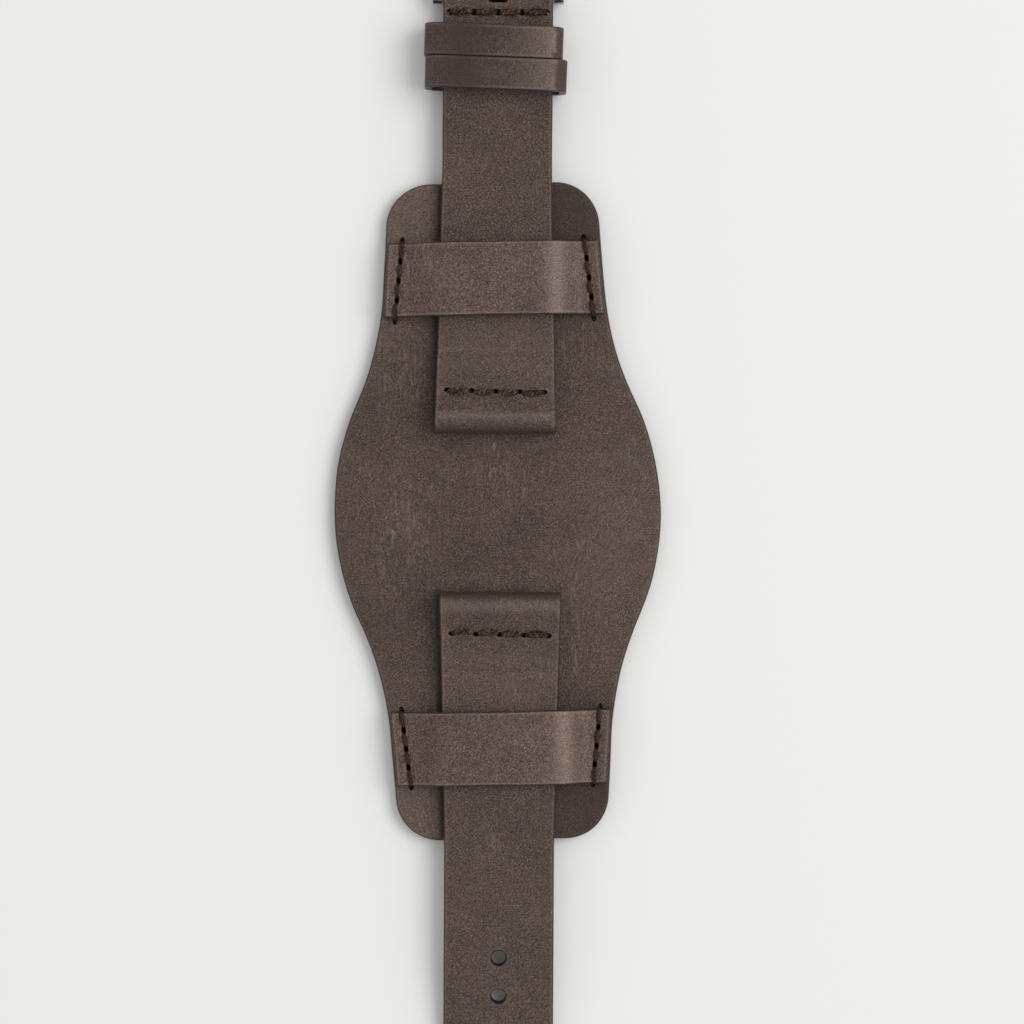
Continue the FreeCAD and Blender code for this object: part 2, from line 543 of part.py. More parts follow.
def pad_quarter(sketch):
    """One quarter of the pad: belly arc, waist arc, straight flank, corner arc and end."""
    length, half = value("pad_half_length"), value("pad_half_width")
    belly, waist = value("pad_belly_radius"), value("pad_waist_radius")
    corner, slope = value("pad_corner_radius"), math.radians(value("pad_flank_angle"))
    outward = Vector(math.cos(slope), math.sin(slope), 0)
    down = Vector(math.sin(slope), -math.cos(slope), 0)
    shoulder = Vector(value("pad_shoulder_half_width"), value("flank_top"), 0)
    corner_centre = shoulder - outward * corner
    belly_centre = Vector(half - belly, 0, 0)
    reach = shoulder + outward * waist - belly_centre
    along = -reach.dot(down)
    slide = along - math.sqrt(along ** 2 - reach.dot(reach) + (belly + waist) ** 2)
    waist_centre = belly_centre + reach + down * slide
    belly_end = belly_centre + (waist_centre - belly_centre) * (belly / (belly + waist))
    flank_start = waist_centre - outward * waist

    def angle(centre, point):
        return math.atan2(point.y - centre.y, point.x - centre.x) % (2 * math.pi)

    def arc(centre, radius, start, end):
        return Part.ArcOfCircle(Part.Circle(centre, Z_DIR, radius), start, end)

    origin = Vector(0, 0, 0)
    side, end_middle = Vector(half, 0, 0), Vector(0, length, 0)
    end_corner = corner_centre + Vector(0, corner, 0)
    sketch.addGeometry([
        Part.LineSegment(origin, side),
        arc(belly_centre, belly, 0, angle(belly_centre, belly_end)),
        arc(waist_centre, waist, angle(waist_centre, flank_start), angle(waist_centre, belly_end)),
        Part.LineSegment(flank_start, shoulder),
        arc(corner_centre, corner, slope, math.pi / 2),
        Part.LineSegment(end_corner, end_middle),
        Part.LineSegment(end_middle, origin),
    ], False)
    for parts in (("Coincident", 0, 1, -1, 1), ("Coincident", 0, 2, 1, 1), ("Horizontal", 0),
                  ("PointOnObject", 1, 3, -1), ("Tangent", 1, 2, 2, 2), ("Tangent", 2, 1, 3, 1),
                  ("Tangent", 3, 2, 4, 1), ("Tangent", 4, 2, 5, 1), ("Horizontal", 5),
                  ("PointOnObject", 5, 2, -2), ("Coincident", 5, 2, 6, 1), ("Coincident", 6, 2, -1, 1)):
        sketch.addConstraint(Sketcher.Constraint(*parts))
    bind(sketch, "DistanceX", (-1, 1, 0, 2), "pad_half_width")
    bind(sketch, "Radius", (1,), "pad_belly_radius")
    bind(sketch, "Radius", (2,), "pad_waist_radius")
    bind(sketch, "Radius", (4,), "pad_corner_radius")
    bind(sketch, "DistanceX", (-1, 1, 3, 2), "pad_shoulder_half_width")
    bind(sketch, "DistanceY", (-1, 1, 5, 2), "pad_half_length")
    lean = sketch.addConstraint(Sketcher.Constraint("Angle", 3, math.pi / 2 + slope))
    sketch.setExpression("Constraints[%d]" % lean, "90 deg + Sizes.pad_flank_angle * 1 deg")


def make_pad():
    """The backing pad, cut from thick leather, with slits and hidden grooves for four rows."""
    body = new_body("bund_pad")
    outline = new_sketch(body, "Outline", "XY_Plane")
    pad_quarter(outline)
    quarter = pad(body, outline, "Quarter", "pad_thickness", symmetric=False)
    whole = repeat(body, [quarter], "Whole", planes=("XZ_Plane", "YZ_Plane"))
    upper = value("pad_thickness")
    rim = edges_where(whole, lambda a, b: min(a.z, b.z) > upper - CLOSE)
    bevel(body, whole, "BevelledEdge", rim, "pad_edge_bevel")
    row = ("band_row_place", "band_row_shift", "band_row_turn")
    slit = row_sketch(body, "Slit", *row)
    rectangle(slit, "-band_slit_far", "-slit_half_width", "-band_slit_near", "slit_half_width")
    first = pocket(body, slit, "FirstSlit", both_ways=True)
    repeat(body, [first], "Slits", ("XZ_Plane", "YZ_Plane"), slit, "band_row_pitch")
    groove = row_sketch(body, "Groove", *row, lift="back_groove_depth")
    rectangle(groove, "-band_slit_far", "-back_groove_half", "band_slit_far", "back_groove_half")
    first = pocket(body, groove, "FirstGroove")
    repeat(body, [first], "Grooves", ("XZ_Plane", "YZ_Plane"))
    return body


def make_band(label, turned):
    """A bridge band: sewn flat on the pad at both ends and bent up over the strap."""
    body = new_body(label)
    side = new_sketch(body, "Side", "XZ_Plane", lift="-band_place")
    right = [("band_foot_half", "pad_thickness"), ("band_blank_half", "pad_thickness"),
             ("band_blank_half", "band_flange_top"), ("band_foot_half_top", "band_flange_top"),
             ("band_flat_half_top", "band_over")]
    left = [("-" + x, z) for x, z in reversed(right)]
    polygon(side, right + left + [("-band_flat_half", "band_under"), ("band_flat_half", "band_under")])
    strip = pad(body, side, "Strip", "band_half_width")
    outer = [("band_flat_half_top", "band_over"), ("-band_flat_half_top", "band_over"),
             ("band_foot_half", "pad_thickness"), ("-band_foot_half", "pad_thickness")]
    bent = fillet(body, strip, "OuterBends", edges_along(strip, "y", outer), "band_bend_radius")
    inner = [("band_flat_half", "band_under"), ("-band_flat_half", "band_under"),
             ("band_foot_half_top", "band_flange_top"), ("-band_foot_half_top", "band_flange_top")]
    fillet(body, bent, "InnerBends", edges_along(bent, "y", inner), "band_inner_bend_radius")
    end = new_sketch(body, "EndTrim", "XY_Plane")
    polygon(end, [("band_end_inner", "band_inner_edge"), ("band_trim_side", "band_inner_edge"),
                  ("band_trim_side", "band_outer_edge"), ("band_end_outer", "band_outer_edge")])
    trimmed = pocket(body, end, "TrimmedEnd", both_ways=True)
    repeat(body, [trimmed], "TrimmedEnds", ("YZ_Plane",))
    row = ("band_row_place", "band_row_shift", "band_row_turn")
    slit = row_sketch(body, "Slit", *row)
    rectangle(slit, "-band_slit_far", "-slit_half_width", "-band_slit_near", "slit_half_width")
    first = pocket(body, slit, "FirstSlit", both_ways=True)
    repeat(body, [first], "Slits", ("YZ_Plane",), slit, "band_row_pitch")
    groove = row_sketch(body, "Groove", *row, lift="band_groove_floor")
    rectangle(groove, "-band_slit_far", "-band_groove_half", "band_slit_far", "band_groove_half")
    first = pocket(body, groove, "FirstGroove", upwards=True)
    repeat(body, [first], "Grooves", ("YZ_Plane",))
    if turned:
        body.Placement = Placement(Vector(0, 0, 0), Rotation(Z_DIR, 180))
    return body


def make_thread(label, kind, back_low, back_high, floor, shoulder, top):
    """One saddle-stitched row: a flat back thread, a plug in each slit, and the top stitches."""
    body = new_body(label)
    run = new_sketch(body, "BackRun", "XZ_Plane")
    rectangle(run, "-%s_plug_far" % kind, back_low, "%s_plug_far" % kind, back_high)
    pad(body, run, "Back", "back_thread_half")
    leg = new_sketch(body, "LegPlan", "XZ_Plane")
    rectangle(leg, "-%s_plug_far" % kind, back_low, "-%s_plug_near" % kind, shoulder)
    first_leg = pad(body, leg, "FirstLeg", "plug_half_width")
    repeat(body, [first_leg], "Legs", (), leg, "%s_row_pitch" % kind)
    side = new_sketch(body, "StitchSide", "XZ_Plane")
    far, near, rise, fall = [("-%s_stitch_%s" % (kind, part)) for part in ("far", "near", "rise", "fall")]
    polygon(side, [(far, floor), (near, floor), (near, shoulder), (fall, top), (rise, top), (far, shoulder)])
    stitch = pad(body, side, "FirstStitch", "%s_thread_half" % kind)
    repeat(body, [stitch], "Stitches", (), side, "%s_row_pitch" % kind, fewer=1)
    return body


def make_band_threads():
    """The four rows that hold the two bridge bands."""
    for end, along in (("upper", "band_row_shift"), ("lower", "-band_row_shift")):
        for side, across in (("left", "-band_row_place"), ("right", "band_row_place")):
            body = make_thread("bridge_thread_%s_%s" % (end, side), "band", "stitch_seat",
                               "band_back_high", "band_stitch_floor", "band_stitch_shoulder",
                               "band_stitch_top")
            leans_in = (end == "upper") == (side == "right")
            place(body, across, along, turn="band_row_turn" if leans_in else "band_row_turn_left")


def lug_end(sign):
    """Corners of the folded watch end in the side view, from the flap's step to the top."""
    below = [(sign + "lug_flat_start", "strap_base"), (sign + "lug_flap_end", "lug_flap_end_top"),
             (sign + "lug_flap_end", "strap_base"), (sign + "lug_axis_place", "strap_base"),
             (sign + "lug_axis_place", "lug_axis_height")]
    above = [(sign + "lug_touch_place", "lug_touch_height"), (sign + "lug_row", "lug_row_top"),
             (sign + "lug_flap_end", "lug_step_top"), (sign + "lug_flat_start", "strap_top")]
    return below + above


def add_lug_fold(body, sign):
    """The round fold at the watch end and its bore for the watch's spring bar."""
    barrel = new_sketch(body, "LugBarrel", "YZ_Plane")
    circle(barrel, sign + "lug_axis_place", "lug_axis_height", "lug_fold_radius")
    pad(body, barrel, "LugFold", "lug_half_width")


def bore_lug(body, sign):
    """The tunnel through the lug fold."""
    tunnel = new_sketch(body, "LugTunnel", "YZ_Plane")
    circle(tunnel, sign + "lug_axis_place", "lug_axis_height", "lug_tunnel_radius")
    pocket(body, tunnel, "LugBore", both_ways=True)


def add_taper(body, sign, far_end):
    """Cuts both sides to the strap's taper and its narrow width."""
    sides = new_sketch(body, "SideTrim", "XY_Plane")
    polygon(sides, [("lug_half_width", sign + "lug_fold_place"),
                    ("buckle_end_half_width", sign + "taper_end"),
                    ("buckle_end_half_width", sign + far_end), ("trim_side", sign + far_end),
                    ("trim_side", sign + "lug_fold_place")])
    trimmed = pocket(body, sides, "TrimmedSide", both_ways=True)
    repeat(body, [trimmed], "TrimmedSides", ("YZ_Plane",))


def pierce_row(body, name, row_y, groove_floor, groove_roof):
    """Slits for one stitch row on the strap, a groove above it and a groove below."""
    slit = row_sketch(body, name + "Slit", 0, row_y)
    rectangle(slit, "-strap_slit_far", "-slit_half_width", "-strap_slit_near", "slit_half_width")
    first = pocket(body, slit, name + "FirstSlit", both_ways=True)
    repeat(body, [first], name + "Slits", (), slit, "strap_row_pitch")
    above = row_sketch(body, name + "Above", 0, row_y, lift=groove_floor)
    rectangle(above, "-strap_slit_far", "-strap_groove_half", "strap_slit_far", "strap_groove_half")
    pocket(body, above, name + "Groove", upwards=True)
    below = row_sketch(body, name + "Below", 0, row_y, lift=groove_roof)
    rectangle(below, "-strap_slit_far", "-back_groove_half", "strap_slit_far", "back_groove_half")
    pocket(body, below, name + "BackGroove")


def make_buckle_strap():
    """The upper strap: one length of leather, folded up at the watch and down at the buckle."""
    body = new_body("buckle_strap")
    side = new_sketch(body, "Side", "YZ_Plane")
    under = [("buckle_flap_end", "strap_base"), ("buckle_flap_end", "buckle_flap_end_bottom"),
             ("buckle_row", "buckle_row_bottom"), ("buckle_touch_place", "buckle_touch_height"),
             ("bar_place", "bar_height"), ("bar_place", "strap_top")]
    polygon(side, list(reversed(under)) + lug_end(""))
    pad(body, side, "Leather", "lug_half_width")
    add_lug_fold(body, "")
    barrel = new_sketch(body, "BuckleBarrel", "YZ_Plane")
    circle(barrel, "bar_place", "bar_height", "bar_fold_radius")
    pad(body, barrel, "BuckleFold", "lug_half_width")
    bore_lug(body, "")
    tunnel = new_sketch(body, "BarTunnel", "YZ_Plane")
    circle(tunnel, "bar_place", "bar_height", "bar_tunnel_radius")
    pocket(body, tunnel, "BarBore", both_ways=True)
    add_taper(body, "", "trim_end")
    slot = new_sketch(body, "TongueSlot", "XY_Plane")
    rectangle(slot, "-slot_half_width", "slot_start", "slot_half_width", "trim_end")
    pocket(body, slot, "Slot", both_ways=True)
    pierce_row(body, "Lug", "lug_row", "lug_groove_floor", "lug_groove_roof")
    pierce_row(body, "Buckle", "buckle_row", "buckle_groove_floor", "buckle_groove_roof")
    return body


def make_tail_strap():
    """The lower strap: folded at the watch, sinking to the table, with holes and a tip."""
    body = new_body("tail_strap")
    side = new_sketch(body, "Side", "YZ_Plane")
    tail = [("-tail_droop_start", "strap_top"),
            ("-tail_droop_middle", "tail_middle_top", "-tail_droop_start"),
            ("-tail_droop_end", "strap_thickness", "-tail_droop_end"),
            ("-tail_tip_place", "strap_thickness"), ("-tail_tip_place", 0), ("-tail_droop_end", 0),
            ("-tail_droop_middle", "tail_middle_bottom", "-tail_droop_end"),
            ("-tail_droop_start", "strap_base", "-tail_droop_start")]
    polygon(side, tail + lug_end("-"))
    pad(body, side, "Leather", "lug_half_width")
    add_lug_fold(body, "-")
    bore_lug(body, "-")
    add_taper(body, "-", "tail_trim_end")
    trim_tip(body)
    holes = new_sketch(body, "FirstHolePlan", "XY_Plane")
    circle(holes, 0, "-first_hole_place", "hole_radius")
    first = pocket(body, holes, "FirstHole", both_ways=True)
    row = body.newObject("PartDesign::LinearPattern", "Holes")
    row.Originals = [first]
    row.Direction = (holes, ["V_Axis"])
    row.Reversed = True
    row.setExpression("Length", "Sizes.hole_pitch * (Sizes.hole_count - 1)")
    row.setExpression("Occurrences", "Sizes.hole_count")
    body.Tip = row
    doc.recompute()
    pierce_row(body, "Lug", "-lug_row", "lug_groove_floor", "lug_groove_roof")
    return body


def trim_tip(body):
    """Rounds the tail's tip with an arc to each side of a short straight end."""
    tip = new_sketch(body, "TipTrim", "XY_Plane")
    radius, half = value("tail_tip_radius"), value("buckle_end_half_width")
    start, end = -value("tail_tip_start"), -value("tail_tip_place")
    blunt, beyond, outside = value("tail_tip_blunt"), -value("tail_trim_end"), value("trim_side")
    centre = Vector(half - radius, start, 0)
    sweep = math.asin(value("tail_tip_rise") / radius)
    tip.addGeometry([
        Part.ArcOfCircle(Part.Circle(centre, Z_DIR, radius), -sweep, 0),
        Part.LineSegment(Vector(half, start, 0), Vector(outside, start, 0)),
        Part.LineSegment(Vector(outside, start, 0), Vector(outside, beyond, 0)),
        Part.LineSegment(Vector(outside, beyond, 0), Vector(blunt, beyond, 0)),
        Part.LineSegment(Vector(blunt, beyond, 0), Vector(blunt, end, 0)),
    ], False)
    for parts in (("Coincident", 0, 2, 1, 1), ("Coincident", 1, 2, 2, 1), ("Coincident", 2, 2, 3, 1),
                  ("Coincident", 3, 2, 4, 1), ("Coincident", 4, 2, 0, 1), ("Horizontal", 1),
                  ("Vertical", 2), ("Horizontal", 3), ("Vertical", 4)):
        tip.addConstraint(Sketcher.Constraint(*parts))
    bind(tip, "Radius", (0,), "tail_tip_radius")
    bind(tip, "DistanceX", (-1, 1, 0, 2), "buckle_end_half_width")
    bind(tip, "DistanceY", (-1, 1, 0, 2), "-tail_tip_start")
    bind(tip, "DistanceY", (-1, 1, 0, 3), "-tail_tip_start")
    bind(tip, "DistanceX", (-1, 1, 0, 1), "tail_tip_blunt")
    bind(tip, "DistanceX", (-1, 1, 2, 2), "trim_side")
    bind(tip, "DistanceY", (-1, 1, 2, 2), "-tail_trim_end")
    trimmed = pocket(body, tip, "TrimmedTip", both_ways=True)
    repeat(body, [trimmed], "Tip", ("YZ_Plane",))


def make_strap_threads():
    """The rows that close the two lug folds and the buckle fold."""
    lug = ("lug_back_low", "lug_back_high", "lug_stitch_floor", "lug_stitch_shoulder", "lug_stitch_top")
    place(make_thread("lug_thread_buckle_strap", "strap", *lug), y="lug_row")
    place(make_thread("lug_thread_tail_strap", "strap", *lug), y="-lug_row")
    end = ("buckle_back_low", "buckle_back_high", "buckle_stitch_floor", "buckle_stitch_shoulder",
           "buckle_stitch_top")
    place(make_thread("buckle_end_thread", "strap", *end), y="buckle_row")


def make_keeper(label, along):
    """A closed leather loop with room for the strap and the tail on top of it."""
    body = new_body(label)
    ring = new_sketch(body, "Ring", "XZ_Plane")
    rectangle(ring, "-keeper_outer_half", 0, "keeper_outer_half", "keeper_top")
    block = pad(body, ring, "Block", "keeper_half_width")
    outer = [(x, z) for x in ("keeper_outer_half", "-keeper_outer_half") for z in (0, "keeper_top")]
    fillet(body, block, "OuterCorners", edges_along(block, "y", outer), "keeper_corner_radius")
    inside = new_sketch(body, "Inside", "XZ_Plane")
    rectangle(inside, "-keeper_inner_half", "keeper_wall", "keeper_inner_half", "keeper_roof")
    open_ring = pocket(body, inside, "Loop", both_ways=True)
    inner = [(x, z) for x in ("keeper_inner_half", "-keeper_inner_half")
             for z in ("keeper_wall", "keeper_roof")]
    fillet(body, open_ring, "InnerCorners", edges_along(open_ring, "y", inner), "keeper_inner_corner")
    place(body, y=along, turn="keeper_skew")
    return body


def make_buckle_frame():
    """The cast frame: two lugs on the spring bar, widening arms and a notched front bar."""
    body = new_body("buckle_frame")
    plan = new_sketch(body, "Plan", "XY_Plane")
    right = [("buckle_window_half_width", "buckle_window_length"),
             ("buckle_window_half_width", "buckle_flare_end"), ("buckle_lug_inner", "buckle_flare_start"),
             ("buckle_lug_inner", 0), ("buckle_lug_outer", 0), ("buckle_lug_outer", "buckle_flare_start"),
             ("buckle_half_width", "buckle_flare_end"), ("buckle_half_width", "buckle_front")]
    left = [("-" + x, y) for x, y in reversed(right)]
    polygon(plan, right + left)
    arms = pad(body, plan, "Arms", "buckle_half_thickness")
    outer = [(side + "buckle_half_width", "buckle_front") for side in ("", "-")]
    rounded = fillet(body, arms, "OuterCorners", edges_along(arms, "z", outer), "buckle_corner_radius")
    window = [(side + "buckle_window_half_width", "buckle_window_length") for side in ("", "-")]
    smooth = fillet(body, rounded, "WindowCorners", edges_along(rounded, "z", window),
                    "buckle_window_radius")
    flare, window_side = value("buckle_flare_start"), value("buckle_window_half_width")
    rim = edges_where(smooth, lambda a, b: abs(a.z - b.z) < CLOSE and min(a.y, b.y) > flare - CLOSE
                      and max(abs(a.x), abs(b.x)) > window_side + CLOSE)
    fillet(body, smooth, "PolishedEdges", rim, "buckle_edge_rounding")
    ends = new_sketch(body, "LugEnds", "YZ_Plane")
    circle(ends, 0, 0, "buckle_lug_radius")
    pad(body, ends, "Lugs", "buckle_lug_outer")
    between = new_sketch(body, "BetweenLugs", "YZ_Plane")
    circle(between, 0, 0, "buckle_clearing_radius")
    pocket(body, between, "LugGap", half_depth="buckle_lug_inner")
    holes = new_sketch(body, "BarHoles", "YZ_Plane")
    circle(holes, 0, 0, "buckle_hole_radius")
    pocket(body, holes, "BlindHoles", half_depth="buckle_hole_end")
    notch = new_sketch(body, "Notch", "XY_Plane", lift="notch_floor")
    rectangle(notch, "-notch_half_width", "buckle_flare_end", "notch_half_width", "tongue_tip")
    pocket(body, notch, "TongueNotch", upwards=True)
    place(body, y="bar_place", z="bar_height", turn_axis=X_DIR, turn="buckle_lean")
    return body


def make_tongue():
    """The tongue: a ring round the spring bar and a shank that rests in the notch."""
    body = new_body("buckle_tongue")
    side = new_sketch(body, "Side", "YZ_Plane")
    polygon(side, [("tongue_root", "tongue_root_bottom"), ("tongue_rest_start", "tongue_rest"),
                   ("tongue_tip", "tongue_rest"), ("tongue_tip", "tongue_tip_top"),
                   ("tongue_tip_start", "tongue_back"), ("tongue_rest_start", "tongue_back"),
                   (0, "tongue_ring_radius"), (0, "tongue_root")])
    pad(body, side, "Shank", "tongue_half_width")
    eye = new_sketch(body, "Eye", "YZ_Plane")
    circle(eye, 0, 0, "tongue_ring_radius")
    pad(body, eye, "Ring", "tongue_ring_half_width")
    bore = new_sketch(body, "Bore", "YZ_Plane")
    circle(bore, 0, 0, "tongue_bore_radius")
    pocket(body, bore, "RingBore", both_ways=True)
    place(body, y="bar_place", z="bar_height", turn_axis=X_DIR, turn="buckle_lean")
    return body


def make_spring_bar():
    """The bar in the buckle fold: a tube, a coil spring and two sprung tips."""
    tube = new_body("spring_bar_tube")
    section = new_sketch(tube, "Section", "YZ_Plane")
    circle(section, 0, 0, "bar_radius")
    circle(section, 0, 0, "bar_bore_radius")
    pad(tube, section, "Tube", "bar_tube_half")
    place(tube, y="bar_place", z="bar_height")
    for label, half_turn in (("spring_bar_tip_right", 0), ("spring_bar_tip_left", 180)):
        tip = new_body(label)
        half = new_sketch(tip, "HalfSection", "XY_Plane")
        polygon(half, [("tip_inner_end", 0), ("tip_end", 0), ("tip_end", "tip_bevel_radius"),
                       ("tip_bevel", "tip_radius"), ("tip_shoulder", "tip_radius"),
                       ("tip_shoulder", "tip_body_radius"), ("tip_inner_end", "tip_body_radius")])
        turning = tip.newObject("PartDesign::Revolution", "Turned")
        turning.Profile = half
        turning.ReferenceAxis = (half, ["H_Axis"])
        turning.Angle = 360
        doc.recompute()
        place(tip, y="bar_place", z="bar_height")
        tip.Placement = Placement(tip.Placement.Base, Rotation(Z_DIR, half_turn))
    coil = new_body("spring_bar_spring")
    wire = new_sketch(coil, "WireSection", "XZ_Plane")
    hexagon(wire, "-spring_half_length", "spring_coil_radius", "spring_wire_radius")
    helix = coil.newObject("PartDesign::AdditiveHelix", "Coil")
    helix.Profile = wire
    helix.ReferenceAxis = (wire, ["H_Axis"])
    helix.Mode = "height-turns-angle"
    helix.setExpression("Height", "Places.spring_length")
    helix.setExpression("Turns", "Sizes.spring_turns")
    doc.recompute()
    place(coil, y="bar_place", z="bar_height")


def check_and_write():
    """Stops on any failed object or bad solid, then writes one file per sub-part."""
    doc.recompute()
    for thing in doc.Objects:
        if "Invalid" in thing.State or "Error" in thing.State:
            raise RuntimeError("failed: %s %s" % (thing.Name, thing.State))
    bodies = [thing for thing in doc.Objects if thing.TypeId == "PartDesign::Body"]
    for body in bodies:
        shape = body.Shape
        if shape.isNull() or not shape.isValid() or len(shape.Solids) != 1:
            raise RuntimeError("bad solid: %s" % body.Label)
    os.makedirs("parts", exist_ok=True)
    for body in bodies:
        body.Shape.exportStep("parts/%s.step" % body.Label)
        print("%-26s %9.2f mm3 %s" % (body.Label, body.Shape.Volume, body.Shape.BoundBox))


make_pad()
make_band("bridge_band_upper", turned=False)
make_band("bridge_band_lower", turned=True)
make_band_threads()
make_buckle_strap()
make_tail_strap()
make_strap_threads()
make_keeper("keeper_upper", "upper_keeper_place")
make_keeper("keeper_lower", "lower_keeper_place")
make_buckle_frame()
make_tongue()
make_spring_bar()
check_and_write()
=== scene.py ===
import math
import bpy
import numpy as np
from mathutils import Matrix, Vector
from mathutils.geometry import delaunay_2d_cdt


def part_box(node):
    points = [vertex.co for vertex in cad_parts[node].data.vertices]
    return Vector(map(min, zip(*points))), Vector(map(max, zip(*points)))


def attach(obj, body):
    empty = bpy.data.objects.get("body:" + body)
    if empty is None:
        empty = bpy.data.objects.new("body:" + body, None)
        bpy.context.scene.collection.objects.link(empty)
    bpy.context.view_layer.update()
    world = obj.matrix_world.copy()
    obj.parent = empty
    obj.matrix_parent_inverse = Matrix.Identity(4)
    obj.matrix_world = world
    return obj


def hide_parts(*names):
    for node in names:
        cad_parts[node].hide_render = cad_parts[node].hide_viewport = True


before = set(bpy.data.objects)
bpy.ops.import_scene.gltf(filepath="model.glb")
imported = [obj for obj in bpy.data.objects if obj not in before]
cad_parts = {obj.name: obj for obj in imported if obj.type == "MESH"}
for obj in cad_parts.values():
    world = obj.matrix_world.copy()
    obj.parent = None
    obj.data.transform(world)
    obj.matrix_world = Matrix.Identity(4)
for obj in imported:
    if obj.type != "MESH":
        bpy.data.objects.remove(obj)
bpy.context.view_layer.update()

# Bund pad.
# One thick piece of waxed pull-up cowhide, cut with a round belly and two waists. Its rim is
# bevelled, dyed and burnished with wax, and the raw flesh side lies on the wrist.

MM = 0.001
pad_high = np.array(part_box("bund_pad")[1]) / MM
pad_thickness = pad_high[2]
pad_belly_radius = 42.9
pad_waist_radius = 54.1
pad_shoulder = 17.5
pad_corner_radius = 7.3
pad_flank_angle = math.radians(3.7)
pad_turn = math.radians(1.05)
pad_edge_rounding = 0.45
pad_mesh_pitch = 0.9
pad_unevenness, pad_cut_unevenness = 0.035, 0.06
stitch_dimple = 0.25
pad_slit = (1.35, 0.52)

# Each band's stitch row, from its outer hole to its inner one, and how the rows at the upper end
# (1) and at the lower end (-1) differ from it.
band_row_ends = ((14.86, 44.65), (16.3, 31.4))
row_holes = 5
row_shift = {1: 0.0, -1: -0.6}
row_scale = {1: 0.96, -1: 0.92}

# Places with wrinkles: across, along, half the width and how strong. The last is their length.
worn_places = ((-15.5, -3.0, 4.5, 1.0), (-0.5, 10.0, 3.0, 0.9), (12.0, -22.0, 5.0, 0.7))
worn_length = 9.0

# Painted shadow on the pad along the straps' left edges, away from the window: where it lies, and how
# wide and dark it is.
strap_shadow_lines = (((-10.35, 13.0), (-9.37, 54.0)), ((-9.75, -13.0), (-8.77, -54.0)))
strap_shadow_reach, strap_shadow_dark = 0.55, 0.95

# The pad's ends carry a painted sheen on the left and painted shade on the right, from a place
# along it over a length and across a width; its belly is paler from a place right of the middle
# over a width.
end_sheen, end_shade, end_start, end_fade, end_width = 0.45, 0.75, 24.0, 20.0, 14.0
belly_pale, belly_start, belly_fade, belly_length = 0.22, 6.0, 10.0, 20.0


def linear(hex_colour):
    """A colour written in sRGB hex, as the linear colour that a shader takes."""
    shares = [int(hex_colour[i:i + 2], 16) / 255 for i in (1, 3, 5)]
    return [s / 12.92 if s <= 0.04045 else ((s + 0.055) / 1.055) ** 2.4 for s in shares] + [1.0]


def add_node(tree, kind, inputs=None, **settings):
    """Adds one shader node. Each input is given as a value, or as a socket that is linked to it."""
    node = tree.nodes.new("ShaderNode" + kind)
    for name, setting in settings.items():
        setattr(node, name, setting)
    for name, given in (inputs or {}).items():
        if isinstance(given, bpy.types.NodeSocket):
            tree.links.new(given, node.inputs[name])
        else:
            node.inputs[name].default_value = given
    return node


def bare_material(name):
    """A new material with nothing in it yet, and its node tree."""
    material = bpy.data.materials.new(name)
    material.use_nodes = True
    material.node_tree.nodes.clear()
    return material, material.node_tree


